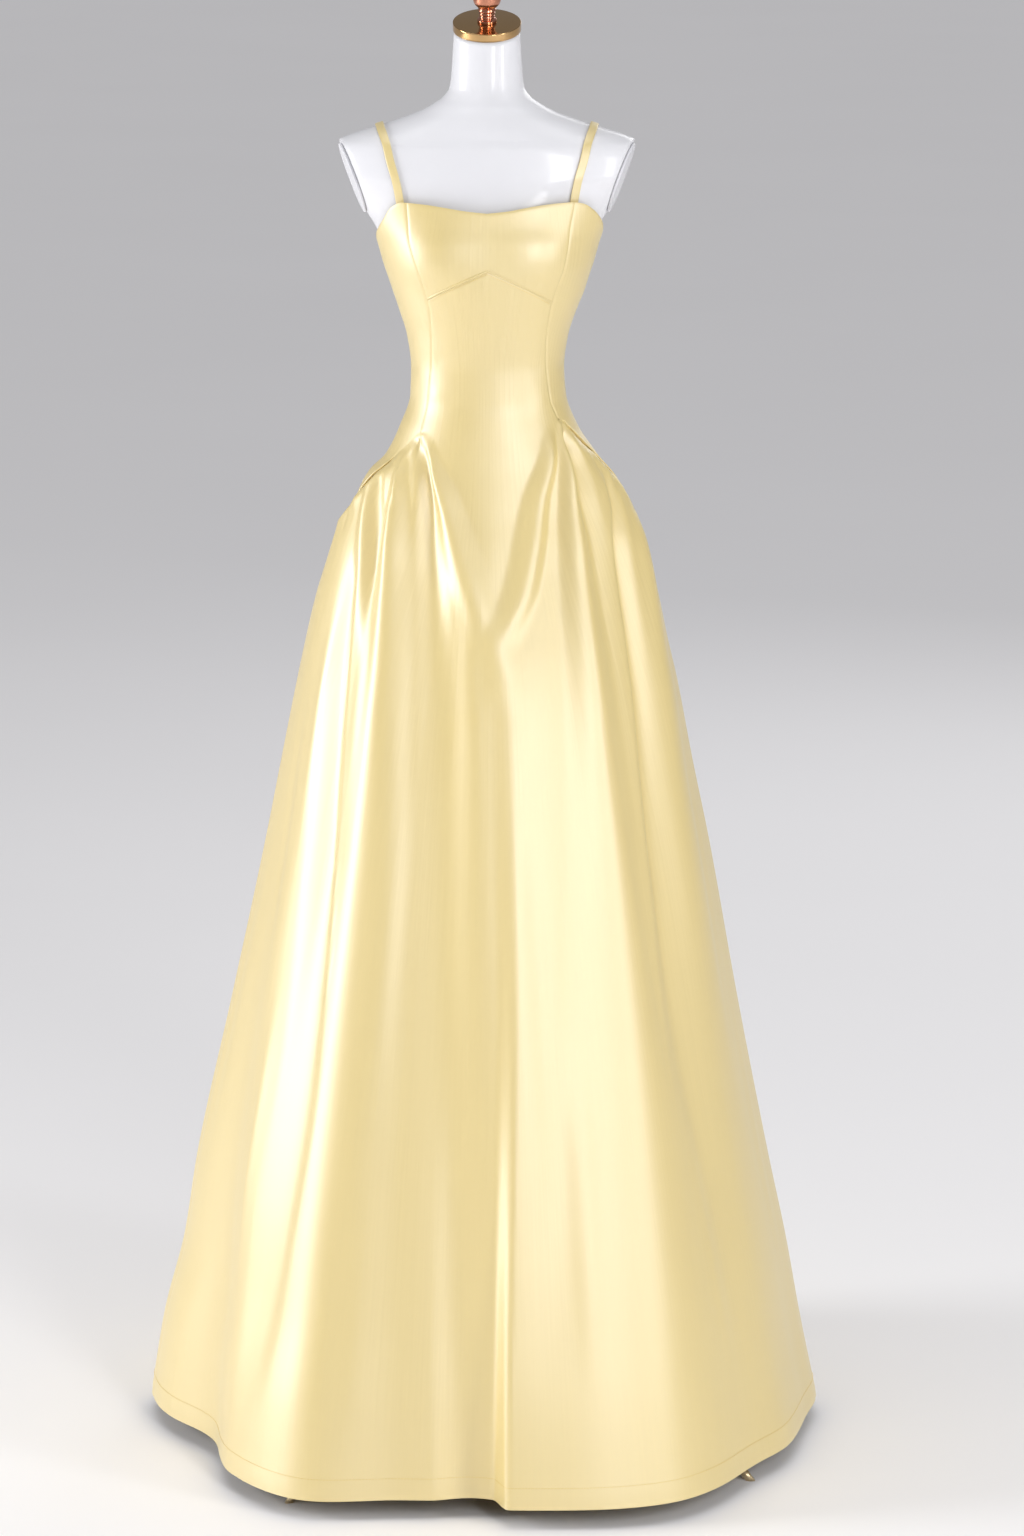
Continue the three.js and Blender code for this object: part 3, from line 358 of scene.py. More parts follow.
# Short creases in the cloth: from one place to another, how far out (+) or in (-), how wide, and
# what share of the length it takes to rise and to die away. Millimetres and degrees.
CREASES = [dict(zip("angle z to_angle to_z out wide rise fall".split(), row)) for row in [
    # tucks that leave the hip seam on the left front
    [-50, 1262, -24, 1163, 1.2, 4.6, 0.04, 0.6],
    [-53, 1257, -41, 1200, -1.95, 4.9, 0.1, 0.7],
    [-57, 1226, -49, 1172, 1.65, 2.9, 0.15, 0.5],
    [-58.5, 1228, -50.5, 1170, -1.35, 2.6, 0.15, 0.5],
    [-64, 1240, -57, 1150, 1.2, 6.5, 0.1, 0.7],
    [-72, 1218, -60, 1110, 1.42, 4.9, 0.1, 0.7],
    [-76, 1206, -66, 1130, -1.35, 3.8, 0.08, 0.7],
    [-81, 1187, -70, 1150, 1.5, 3.5, 0.1, 0.6],
    [-83, 1180, -76, 1120, -1.27, 3.8, 0.08, 0.7],
    [-88, 1164, -84, 1080, 1.2, 7.2, 0.1, 0.7],
    [-93, 1156, -91, 1060, -1.05, 5.8, 0.1, 0.7],
    # the same on the right front
    [59, 1274, 53.5, 1247, 1.95, 3.5, 0.05, 0.5],
    [62, 1270, 57, 1236, -2.1, 3.5, 0.08, 0.6],
    [53, 1247, 47, 1170, 1.65, 4.1, 0.2, 0.6],
    [67, 1262, 64, 1224, 0.98, 5.2, 0.1, 0.6],
    [75, 1248, 70, 1190, -1.12, 3.5, 0.06, 0.7],
    [78, 1236, 73, 1185, 1.12, 3.8, 0.08, 0.6],
    [84, 1216, 73, 1150, -1.65, 3.8, 0.05, 0.7],
    [87, 1203, 79, 1130, 1.27, 4.9, 0.08, 0.7],
    [91, 1186, 86, 1090, -1.12, 4.9, 0.08, 0.7],
    [96, 1168, 93, 1070, 1.12, 6.4, 0.1, 0.7],
    # and under the back hip seams
    [-104, 1165, -103, 1080, 1.12, 5.8, 0.1, 0.7],
    [-112, 1184, -116, 1100, -1.35, 4.1, 0.06, 0.7],
    [-118, 1202, -122, 1120, 1.42, 4.3, 0.08, 0.6],
    [-125, 1224, -128, 1140, -1.2, 4.1, 0.06, 0.7],
    [-134, 1250, -135, 1150, 1.27, 4.9, 0.08, 0.7],
    [104, 1162, 104, 1070, 1.2, 6.1, 0.1, 0.7],
    [113, 1176, 115, 1085, -1.27, 4.3, 0.06, 0.7],
    [120, 1198, 122, 1110, 1.5, 4.6, 0.08, 0.6],
    [127, 1222, 129, 1150, -1.12, 3.8, 0.06, 0.7],
    [135, 1252, 134, 1140, 1.2, 4.6, 0.08, 0.7],
    # soft drag across the bodice
    [-38, 1410, -20, 1392, -0.5, 7, 0.3, 0.7],
    [-47, 1345, -22, 1362, -0.6, 8, 0.3, 0.7],
    [-49, 1312, -28, 1296, 0.7, 9, 0.3, 0.7],
    [50, 1338, 26, 1350, -0.5, 8, 0.3, 0.7],
    [52, 1305, 30, 1288, 0.6, 9, 0.3, 0.7],
    [-85, 1342, -60, 1330, -0.8, 7, 0.4, 0.5],
    [-88, 1318, -62, 1304, 0.7, 8, 0.4, 0.5],
    [88, 1346, 62, 1334, -0.8, 7, 0.4, 0.5],
    [86, 1320, 64, 1308, 0.7, 8, 0.4, 0.5],
    [-120, 1330, -150, 1342, -0.9, 7, 0.3, 0.6],
    [120, 1336, 152, 1326, -0.8, 8, 0.3, 0.6],
    [-150, 1300, -176, 1292, 0.8, 8, 0.3, 0.6],
    [148, 1294, 174, 1304, 0.8, 8, 0.3, 0.6],
    [-30, 1440, -38, 1425, 0.6, 6, 0.3, 0.6],
    [30, 1444, 39, 1426, 0.6, 6, 0.3, 0.6],
    # long faint ones down the skirt
    [-66, 1080, -58, 700, 1.6, 9, 0.3, 0.5],
    [-75, 980, -66, 560, -1.8, 12, 0.4, 0.5],
    [-58, 620, -56, 180, 1.8, 10, 0.4, 0.5],
    [-26, 900, -24, 420, 1.5, 12, 0.4, 0.5],
    [-28, 420, -26, 60, -2.0, 14, 0.4, 0.3],
    [12, 860, 13, 380, -1.6, 13, 0.4, 0.5],
    [20, 600, 18, 120, 1.8, 15, 0.4, 0.4],
    [42, 900, 43, 420, -1.5, 11, 0.4, 0.5],
    [46, 560, 50, 90, 2.0, 14, 0.4, 0.4],
    [78, 960, 74, 430, -1.8, 12, 0.4, 0.5],
    [84, 640, 82, 120, 1.8, 15, 0.4, 0.4],
    [-88, 820, -86, 240, -1.8, 14, 0.4, 0.4],
    [-130, 700, -131, 120, -1.8, 14, 0.4, 0.4],
    [-150, 820, -152, 260, 1.7, 12, 0.4, 0.5],
    [168, 940, 168, 380, -1.8, 14, 0.4, 0.5],
    [-172, 760, -173, 160, 1.8, 13, 0.4, 0.4],
    [146, 760, 146, 200, 1.6, 12, 0.4, 0.4],
    [104, 820, 105, 220, 1.8, 14, 0.4, 0.4],
]]


# ---- the dress's outer surface ------------------------------------------------------------
def smooth(t):
    x = np.clip(t, 0, 1)
    return x * x * (3 - 2 * x)


def turn(degrees):
    return degrees - 360 * np.round(degrees / 360)


def bell(distance, wide):
    return np.exp(-(distance / wide) ** 2)


def ring(angle, across, along, square):
    s = np.abs(np.sin(angle * RADIANS) / across)
    c = np.abs(np.cos(angle * RADIANS) / along)
    return (s ** square + c ** square) ** (-1 / square)


def section_radius(table, angle, z):
    angle = turn(angle)
    across = np.where(angle < 0, table.read(z, "left"), table.read(z, "right"))
    along = np.where(np.abs(angle) < 90, table.read(z, "front"), table.read(z, "back"))
    return ring(angle, across, along, table.read(z, "square"))


def hip_line(angle):
    return HIP.read(turn(angle), "z")


def top_line(angle):
    angle = turn(angle)
    reach = np.abs(angle)
    return np.where(angle < 0, TOP_EDGE.read(reach, "left"), TOP_EDGE.read(reach, "right"))


def under_bust_line(angle):
    return UNDER_BUST.read(np.abs(angle), "z")


def bust_out(angle, z):
    up = bell(z - BUST_CUP["z"], BUST_CUP["up"])
    sides = [bell(turn(angle) - a, BUST_CUP["across"]) for a in (-BUST_CUP["angle"], BUST_CUP["angle"])]
    return BUST_CUP["out"] * up * (sides[0] + sides[1])


def fold_out(rows, angle, z):
    off = turn(angle - rows.read(z, "angle"))
    reach = np.where(off < 0, rows.read(z, "before"), rows.read(z, "after"))
    near = (np.abs(off) < reach) & (z <= rows.keys[-1])
    rise = 0.5 * (1 + np.cos(math.pi * np.where(near, off / reach, 1)))
    return np.where(near, rows.read(z, "depth") * rise, 0)


def main_radius(angle, z):
    """The form that the solids have: bodice above the hip seam, skirt and its folds below."""
    body = section_radius(BODICE, angle, z) + bust_out(angle, z)
    below = hip_line(angle) - z
    reach = SKIRT_REACH["side"] + SKIRT_REACH["further"] * np.cos(angle * RADIANS) ** 2
    folds = sum(fold_out(rows, angle, z) for rows in FOLDS.values())
    hung = section_radius(SKIRT, angle, z) - body
    folds = smooth(below / SKIRT_REACH["folds"]) * folds
    return body + np.where(below > 0, smooth(below / reach) * hung + folds, 0)


def crease_out(angle, z, radius):
    total = np.zeros_like(radius)
    for rows in PLEATS.values():
        off = turn(angle - rows.read(z, "angle")) * RADIANS * radius
        near = np.where(z <= rows.keys[-1], rows.read(z, "out"), 0)
        total += near * bell(off, rows.read(z, "wide"))
    for c in CREASES:
        arc = RADIANS * np.clip(radius, 1, None)
        across, up = turn(angle - c["angle"]) * arc, z - c["z"]
        to_across, to_up = (c["to_angle"] - c["angle"]) * arc, c["to_z"] - c["z"]
        length = to_across ** 2 + to_up ** 2
        t = (across * to_across + up * to_up) / length
        held = np.clip(t, 0, 1)
        off = np.hypot(across - held * to_across, up - held * to_up)
        share = smooth(held / c["rise"]) * smooth((1 - held) / c["fall"])
        total += c["out"] * share * bell(off, c["wide"])
    return total


# What the sewing does to the cloth, in millimetres: it sinks at a seam, a little more where seams
# cross. Beyond the angles left and right the hip seams fade in, with a lip over the sunk seam.
SEAM = {"sink": 0.6, "wide": 1.6, "crossing": 1.2, "fade": 12}
HIP_SEAM = {"lip": 1.0, "lip_at": 2.6, "lip_wide": 2.4, "sink": 1.6, "wide": 3.0, "puff": 1.6,
            "puff_at": 15, "puff_wide": 10, "left": -66, "right": 62, "fade": 12}
HEM = {"turning": 26, "mark": 0.35, "mark_wide": 2.4, "roll": 0.8, "roll_wide": 1.6}


def seam_distance(angle, line, radius):
    """Distance across a seam that runs down the cloth at the angle line, in millimetres."""
    return turn(angle - line) * RADIANS * radius


def seam_dip(angle, z, radius):
    """How far the cloth sinks at the seams that join the panels, but for the hip seams."""
    wide = SEAM["wide"]
    front = [seam_distance(angle, PRINCESS.read(z, side), radius) for side in ("left", "right")]
    back = [seam_distance(angle, sign * PRINCESS.read(z, "back"), radius) for sign in (-1, 1)]
    on_bodice = smooth(0.5 + (z - PRINCESS.keys[0]) / SEAM["fade"])
    sides = [seam_distance(angle, sign * SIDE_SEAM, radius) for sign in (-1, 1)]
    centre_back = seam_distance(angle, 180, radius)
    dip = on_bodice * sum(bell(d, wide) for d in front + back)
    dip = dip + sum(bell(d, wide) for d in sides + [centre_back])
    inside = (turn(angle) > PRINCESS.read(z, "left")) & (turn(angle) < PRINCESS.read(z, "right"))
    dip = dip + np.where(inside, bell(z - under_bust_line(angle), wide), 0)
    return SEAM["sink"] * np.minimum(dip, SEAM["crossing"])


def hip_seam_out(angle, z, radius):
    """The lip above each slanting hip seam, the sunk seam and the puffed cloth below it."""
    slope = (hip_line(angle + 0.5) - hip_line(angle - 0.5)) / (RADIANS * radius)
    above = (z - hip_line(angle)) / np.hypot(1, slope)
    angle = turn(angle)
    whole = (angle > FRONT_CORNER["left"]) & (angle < FRONT_CORNER["right"])
    whole = whole | (np.abs(angle) > BACK_CORNER)
    fade = smooth((HIP_SEAM["left"] - angle) / HIP_SEAM["fade"])
    fade = fade + smooth((angle - HIP_SEAM["right"]) / HIP_SEAM["fade"])
    lip = fade * HIP_SEAM["lip"] * bell(above - HIP_SEAM["lip_at"], HIP_SEAM["lip_wide"])
    sunk = -fade * HIP_SEAM["sink"] * bell(above, HIP_SEAM["wide"])
    puff = HIP_SEAM["puff"] * bell(above + HIP_SEAM["puff_at"], HIP_SEAM["puff_wide"])
    return np.where(whole, 0, np.where(above > 0, lip, sunk + puff))


def edge_out(angle, z):
    """The mark of the hem's turning, and the rolled edges of the hem and the top."""
    hem = z - HEM_HEIGHT
    mark = HEM["mark"] * bell(hem - HEM["turning"], HEM["mark_wide"])
    below_top = top_line(angle) - z
    return mark - HEM["roll"] * (bell(hem, HEM["roll_wide"]) + bell(below_top, HEM["roll_wide"]))


def cloth_radius(angle, z):
    radius = main_radius(angle, z)
    sewing = hip_seam_out(angle, z, radius) + edge_out(angle, z) - seam_dip(angle, z, radius)
    return radius + crease_out(angle, z, radius) + sewing


def place(radius, angle, z):
    """Points in millimetres, from arrays of polar places."""
    a = angle * RADIANS
    return np.stack([radius * np.sin(a), -radius * np.cos(a), np.broadcast_to(z, a.shape)], -1)


# ---- building meshes ----------------------------------------------------------------------
def linked(name, data):
    """A new object for a mesh, light or camera, linked to the scene."""
    made = bpy.data.objects.new(name, data)
    bpy.context.scene.collection.objects.link(made)
    return made


def new_object(name, points, faces, materials, face_slots=None, sharp=None):
    """An object in metres from points in millimetres, smooth shaded, riding on the body."""
    mesh = bpy.data.meshes.new(name)
    mesh.from_pydata((np.asarray(points) * MM).tolist(), [], [list(map(int, f)) for f in faces])
    mesh.polygons.foreach_set("use_smooth", [True] * len(mesh.polygons))
    if face_slots is not None:
        mesh.polygons.foreach_set("material_index", list(map(int, face_slots)))
    if sharp:
        pairs = np.empty(len(mesh.edges) * 2, int)
        mesh.edges.foreach_get("vertices", pairs)
        pairs = np.sort(pairs.reshape(-1, 2), axis=1)
        wanted = np.sort(np.array(sorted(sharp)), axis=1)
        size = len(mesh.vertices)
        flags = np.isin(pairs[:, 0] * size + pairs[:, 1], wanted[:, 0] * size + wanted[:, 1])
        mesh.edges.foreach_set("use_edge_sharp", flags.tolist())
    for material in materials:
        mesh.materials.append(material)
    mesh.update()
    piece = linked(name, mesh)
    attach(piece, BODY)
    return piece


def lay_threads(piece, places):
    """Keep each point's place in the weave, in metres, for the satin's pattern."""
    layer = piece.data.attributes.new("threads", "FLOAT_VECTOR", "POINT")
    layer.data.foreach_set("vector", np.asarray(places).ravel())


def grid_quads(ids):
    """Faces of a grid whose first row is the top one, seen from outside."""
    corners = [ids[1:, :-1], ids[1:, 1:], ids[:-1, 1:], ids[:-1, :-1]]
    return np.stack([c.ravel() for c in corners], -1)


def vertex_normals(points, quads):
    across = points[quads[:, 2]] - points[quads[:, 0]]
    down = points[quads[:, 3]] - points[quads[:, 1]]
    face = np.cross(across, down)
    total = np.zeros_like(points)
    for k in range(4):
        np.add.at(total, quads[:, k], face)
    return total / np.linalg.norm(total, axis=1, keepdims=True)


def boundary_edges(quads):
    ends = np.concatenate([quads[:, [k, (k + 1) % 4]] for k in range(4)])
    size = int(quads.max()) + 1
    forward = ends[:, 0] * size + ends[:, 1]
    backward = ends[:, 1] * size + ends[:, 0]
    return ends[~np.isin(forward, backward)]


MEAN_RADIUS = 0.3    # metres of weave round the pole for each radian


def cloth_piece(name, angle, z, quads, wall, materials):
    """A thin closed shell: the right side of the cloth, the wrong side and the rim between."""
    outer = place(cloth_radius(angle, z), angle, z)
    inner = outer - wall * vertex_normals(outer, quads)
    edges = boundary_edges(quads)
    n = len(outer)
    rim = np.stack([edges[:, 1], edges[:, 0], edges[:, 0] + n, edges[:, 1] + n], -1)
    faces = np.concatenate([quads, quads[:, ::-1] + n, rim])
    slots = np.concatenate([np.zeros(len(quads)), np.ones(len(quads)), np.zeros(len(rim))])
    sharp = [tuple(e) for e in edges] + [tuple(e + n) for e in edges]
    piece = new_object(name, np.concatenate([outer, inner]), faces, materials, slots, sharp)
    threads = np.stack([angle * RADIANS * MEAN_RADIUS, -z * MM, np.zeros_like(z)], -1)
    lay_threads(piece, np.concatenate([threads, threads]))
    return piece


def join_grids(upper, lower, start):
    """Two grids of places, the upper one's last row sewn into the lower one's first."""
    above = np.arange(upper[0].size).reshape(upper[0].shape)
    below = np.arange(lower[0].size).reshape(lower[0].shape) + upper[0].size
    width = upper[0].shape[1]
    below[0, start:start + width] = above[-1]
    angle, z = (np.concatenate([u.ravel(), v.ravel()]) for u, v in zip(upper, lower))
    quads = np.concatenate([grid_quads(above), grid_quads(below)])
    used = np.unique(quads)
    fresh = np.zeros(len(angle), int)
    fresh[used] = np.arange(len(used))
    return angle[used], z[used], fresh[quads]


def tube(rings):
    """Faces of closed rings of equal length, capped at both ends by a fan."""
    count, size = rings.shape[:2]
    ids = np.arange(count * size).reshape(count, size)
    turned_ids = np.roll(ids, -1, axis=1)
    corners = [ids[:-1], turned_ids[:-1], turned_ids[1:], ids[1:]]
    faces = np.stack([c.ravel() for c in corners], -1).tolist()
    points = np.concatenate([rings.reshape(-1, 3), rings[[0, -1]].mean(axis=1)])
    first, last = count * size, count * size + 1
    for k in range(size):
        faces.append([turned_ids[0, k], ids[0, k], first])
        faces.append([ids[-1, k], turned_ids[-1, k], last])
    return points, faces


def lathe(profile, segments):
    """Rings of a turned solid, from rows of radius and height that go up."""
    a = np.arange(segments) * 2 * math.pi / segments
    radius, height = np.array(profile, float).T
    circle = np.stack([np.cos(a), np.sin(a), np.zeros_like(a)], -1)
    return radius[:, None, None] * circle + height[:, None, None] * np.array([0, 0, 1])


def rounded(profile, fillet, steps=5):
    """A polyline of radius and height with its corners rounded."""
    rows = [np.array(p, float) for p in profile]
    out = [rows[0]]
    for before, corner, after in zip(rows, rows[1:], rows[2:]):
        reach = min(fillet, np.linalg.norm(before - corner) / 2, np.linalg.norm(after - corner) / 2)
        start = corner + (before - corner) * reach / np.linalg.norm(before - corner)
        end = corner + (after - corner) * reach / np.linalg.norm(after - corner)
        for t in np.linspace(0, 1, steps):
            out.append((1 - t) ** 2 * start + 2 * t * (1 - t) * corner + t * t * end)
    out.append(rows[-1])
    return out


def spread(first, last, count):
    return np.linspace(first, last, count + 1)


# ---- rows and columns of the panels -------------------------------------------------------
# Where each column leaves the hip line, where it reaches the hem, and the cells up to it.
FRONT_STOPS = Table("hip hem cells", [
    [-SIDE_SEAM, -SIDE_SEAM, 0], [-72, -62, 5], [-65, -52, 3], [-59, -36, 3],
    [FRONT_CORNER["left"], -12, 5], [-2.5, -3, 7], [1, 1, 1], [4, 3.2, 1], [49, 24, 7],
    [54.5, 30, 2], [FRONT_CORNER["right"], 38, 2], [73.5, 53, 4], [SIDE_SEAM, SIDE_SEAM, 5],
])
BACK_STOPS = Table("hip hem cells", [
    [SIDE_SEAM, SIDE_SEAM, 0], [110, 115, 5], [127, 136, 4], [BACK_CORNER, 161, 4],
    [180, 180, 5],
])


def columns_through(stops, finer):
    """The stops' angles on the hip line, with every cell split into finer ones."""
    columns = [stops.rows[0, 0]]
    for start, stop in zip(stops.rows, stops.rows[1:]):
        columns.extend(spread(start[0], stop[0], int(stop[2]) * finer)[1:])
    return np.array(columns)


FAN_REACH = 180      # drop over which a column turns from its place on the hip to that at the hem
ROW_SPREAD = 1.45    # rows stand closer together under the hip seam than at the hem


def fanned_angle(column, drop):
    behind = np.abs(column) >= SIDE_SEAM
    hem = np.where(
        behind,
        np.sign(column) * BACK_STOPS.read(np.abs(column), "hem"),
        FRONT_STOPS.read(column, "hem"),
    )
    return hem + (column - hem) * np.exp(-drop / FAN_REACH)


def half_seam(angle, z):
    return SEAM_GAP / 2 / main_radius(angle, z) / RADIANS


def princess(z, side):
    return PRINCESS.read(z, side)


def seam_point(side, down):
    """Angle and height on a front princess seam, down being the share from top edge to hip."""
    top = top_line(princess(TOP_HEIGHT, side))
    z = top + (hip_line(FRONT_CORNER[side]) - top) * down
    return princess(z, side), z


def under_bust_share(side):
    top = top_line(princess(TOP_HEIGHT, side))
    seam = under_bust_line(princess(UNDER_BUST_HEIGHT, side))
    return (top - seam) / (top - hip_line(FRONT_CORNER[side]))


def between_seams(from_share, to_share, upper_line, lower_line, columns, rows):
    """A grid between the two front princess seams."""
    share = (columns - columns[0]) / (columns[-1] - columns[0])

    def angles(down):
        ends = []
        for side, inward in (("left", 1), ("right", -1)):
            first, last = from_share(side), to_share(side)
            angle, z = seam_point(side, first + (last - first) * down)
            ends.append(angle + inward * half_seam(angle, z))
        return ends[0] + (ends[1] - ends[0]) * share

    upper, lower = upper_line(angles(0.0)), lower_line(angles(1.0))
    down = rows[:, None]
    angle = np.array([angles(d) for d in rows])
    return angle, upper + (lower - upper) * down


def skirt_grid(columns, gap, rows):
    """Columns from the hip line to the hem. gap is the seam's half width under each column."""
    top = hip_line(columns) - gap
    z = top + (HEM_HEIGHT - top) * rows[:, None] ** ROW_SPREAD
    angle = fanned_angle(columns, top - z)
    angle[:, 0] += half_seam(angle[:, 0], z[:, 0])
    angle[:, -1] -= half_seam(angle[:, -1], z[:, -1])
    return angle, z


def fine(count):
    return count


FRONT_FINER, BACK_FINER = fine(5), fine(6)
SKIRT_CELLS, WAIST_CELLS, BUST_CELLS, SIDE_CELLS = fine(165), fine(90), fine(80), fine(150)
BUST_ACROSS, SIDE_ACROSS, TUCK_CELLS, ROLL_CELLS = fine(130), fine(70), fine(220), fine(260)
TORSO_SIDES, FINIAL_CELLS = fine(288), fine(180)


# ---- materials ----------------------------------------------------------------------------
class Paint:
    """A material being mixed. Every node comes from node()."""

    def __init__(self, name):
        self.material = bpy.data.materials.new(name)
        self.material.use_nodes = True
        self.tree = self.material.node_tree
        self.tree.nodes.clear()

    @staticmethod
    def pick(sockets, key):
        """A socket by its place, or by its name among those in use."""
        if isinstance(key, int):
            return sockets[key]
        return next(s for s in sockets if s.enabled and s.name == key)

    def node(self, kind, settings=None, inputs=None, output=0):
        """A new node with its settings and inputs, as the value of one of its outputs."""
        made = self.tree.nodes.new(kind)
        for key, value in (settings or {}).items():
            setattr(made, key, value)
        for key, value in (inputs or {}).items():
            socket = self.pick(made.inputs, key)
            if isinstance(value, Value):
                self.tree.links.new(value.socket, socket)
            else:
                socket.default_value = value
        return Value(self, self.pick(made.outputs, output)) if len(made.outputs) else None

    def mixed(self, factor, first, second):
        """Two colours mixed by a factor."""
        inputs = {"Factor": factor, "A": first, "B": second}
        return self.node("ShaderNodeMix", {"data_type": "RGBA"}, inputs, "Result")

    def noise(self, scale, detail=2.0, at=None, roughness=0.5):
        at = at or self.node("ShaderNodeTexCoord", output="Object")
        return self.node("ShaderNodeTexNoise", {}, {
            "Vector": at, "Scale": scale, "Detail": detail, "Roughness": roughness})

    def stretched(self, at, scale):
        """Coordinates stretched by a scale each way."""
        return self.node("ShaderNodeVectorMath", {"operation": "MULTIPLY"}, {0: at, 1: scale})

    def bump(self, height, strength, distance, normal=None):
        inputs = {"Height": height, "Strength": strength, "Distance": distance}
        if normal:
            inputs["Normal"] = normal
        return self.node("ShaderNodeBump", {}, inputs)

    def finish(self, **sockets):
        names = {key.replace("_", " "): value for key, value in sockets.items()}
        shader = self.node("ShaderNodeBsdfPrincipled", {}, names)
        self.node("ShaderNodeOutputMaterial", {}, {"Surface": shader})
        return self.material


class Value:
    """A socket whose arithmetic adds Math nodes."""

    def __init__(self, paint, socket):
        self.paint = paint
        self.socket = socket

    def _math(self, operation, first, second):
        return self.paint.node("ShaderNodeMath", {"operation": operation}, {0: first, 1: second})

    def __add__(self, other):
        return self._math("ADD", self, other)

    def __radd__(self, other):
        return self._math("ADD", other, self)

    def __mul__(self, other):
        return self._math("MULTIPLY", self, other)

    def __rmul__(self, other):
        return self._math("MULTIPLY", other, self)


def tinted(colour, share):
    """A colour made lighter (share over 1) or darker, kept within what a surface can reflect."""
    return (*(min(0.98, c * share) for c in colour[:3]), 1)


# How many times a metre each pattern repeats, across the cloth, along it and through it.
WEAVE = {"warp": (2400, 60, 1), "slub": (35, 900, 1), "streak": (420, 5, 1), "drift": (95, 2.2, 1)}
SCRATCH = (300, 300, 2600)


def satin(name, colour, roughness, sheen):
    """Warp-faced satin: fine lengthwise threads, faint slubs across, soft cloudy variation."""
    paint = Paint(name)
    at = paint.node("ShaderNodeAttribute", {"attribute_name": "threads"}, output="Vector")
    warp = paint.noise(1.0, 2.0, paint.stretched(at, WEAVE["warp"]), 0.6)
    slub = paint.noise(1.0, 3.0, paint.stretched(at, WEAVE["slub"]), 0.6)
    streak = paint.noise(1.0, 3.0, paint.stretched(at, WEAVE["streak"]), 0.6)
    drift = paint.noise(1.0, 2.0, paint.stretched(at, WEAVE["drift"]), 0.5)
    cloud = paint.noise(5.0, 3.0)
    weave = warp * 0.55 + slub * 0.45
    tone = weave * 0.4 + streak * 0.3 + cloud * 0.3
    base = paint.mixed(tone, tinted(colour, 0.92), tinted(colour, 1.06))
    rough = (roughness - 0.08) + weave * 0.06 + streak * 0.06 + cloud * 0.04
    normal = paint.bump(drift, 0.35, 0.0016)
    normal = paint.bump(streak, 0.25, 0.0005, normal)
    normal = paint.bump(weave, 0.12, 0.0002, normal)
    normal = paint.bump(cloud, 0.06, 0.002, normal)
    return paint.finish(
        Base_Color=base, Roughness=rough, Normal=normal, Sheen_Weight=sheen, Sheen_Roughness=0.35,
        Sheen_Tint=(1.0, 0.97, 0.86, 1), Specular_IOR_Level=1.0, Anisotropic=0.3,
        Coat_Weight=1.0, Coat_Roughness=0.46, Coat_IOR=2.3)


def moulded(name, colour, roughness, coat):
    """Smooth lacquered moulding with a faint ripple and hand marks."""
    paint = Paint(name)
    ripple = paint.noise(14.0, 2.0)
    grain = paint.noise(900.0, 2.0)
    marks = paint.noise(38.0, 4.0, roughness=0.7)
    base = paint.mixed(marks * 0.6 + ripple * 0.4, tinted(colour, 0.985), tinted(colour, 1.01))
    rough = roughness + marks * 0.10 + grain * 0.03
    normal = paint.bump(ripple, 0.05, 0.004)
    normal = paint.bump(grain, 0.04, 0.0001, normal)
    return paint.finish(
        Base_Color=base, Roughness=rough, Normal=normal, Coat_Weight=coat, Coat_Roughness=0.12)


def metal(name, colour, roughness, wear, metallic=1.0):
    """Plated metal: a cloudy polish with fine rubbed scratches."""
    paint = Paint(name)
    at = paint.node("ShaderNodeTexCoord", output="Object")
    cloud = paint.noise(30.0, 3.0, at)
    rubbed = paint.noise(90.0, 3.0, at, 0.7)
    scratch = paint.noise(1.0, 2.0, paint.stretched(at, SCRATCH), 0.6)
    base = paint.mixed(cloud * 0.7 + rubbed * 0.3, tinted(colour, 1 - wear), tinted(colour, 1.04))
    rough = roughness + cloud * 0.08 + scratch * 0.06
    normal = paint.bump(scratch, 0.05, 0.0001)
    return paint.finish(Base_Color=base, Roughness=rough, Normal=normal, Metallic=metallic)


def floor_paint(colour, roughness):
    paint = Paint("floor_paint")
    cloud = paint.noise(0.8, 4.0)
    grain = paint.noise(240.0, 2.0)
    base = paint.mixed(cloud * 0.7 + grain * 0.3, tinted(colour, 0.97), tinted(colour, 1.02))
    return paint.finish(
        Base_Color=base, Roughness=roughness + grain * 0.1, Normal=paint.bump(grain, 0.05, 0.0004))


def shared(name, maker, *values):
    """A material that several pieces use, mixed once."""
    return bpy.data.materials.get(name) or maker(name, *values)


# ---- settings -----------------------------------------------------------------------------
def colour_property(name, description, default):
    return FloatVectorProperty(
        name=name, description=description, default=default, size=3, subtype="COLOR", min=0, max=1)


def length_property(name, description, default):
    return FloatProperty(
        name=name, description=description, default=default, unit="LENGTH", subtype="DISTANCE", min=0)


class ClothSettings(bpy.types.PropertyGroup):
    """The satin and its sewing."""

    wall: length_property("Cloth", "Thickness of the satin", 0.0014)
    colour: colour_property("Satin", "Colour of the satin's right side", (0.76, 0.59, 0.207))
    wrong_colour: colour_property("Wrong side", "Colour inside the skirt", (0.70, 0.55, 0.22))
    roughness: FloatProperty(name="Gloss", description="Roughness of the satin", default=0.49)
    sheen: FloatProperty(name="Sheen", description="Bloom at grazing angles", default=0.1)
    stitch: length_property("Stitch", "Length of one stitch", 0.0026)
    thread: length_property("Thread", "Thickness of the sewing thread", 0.00045)


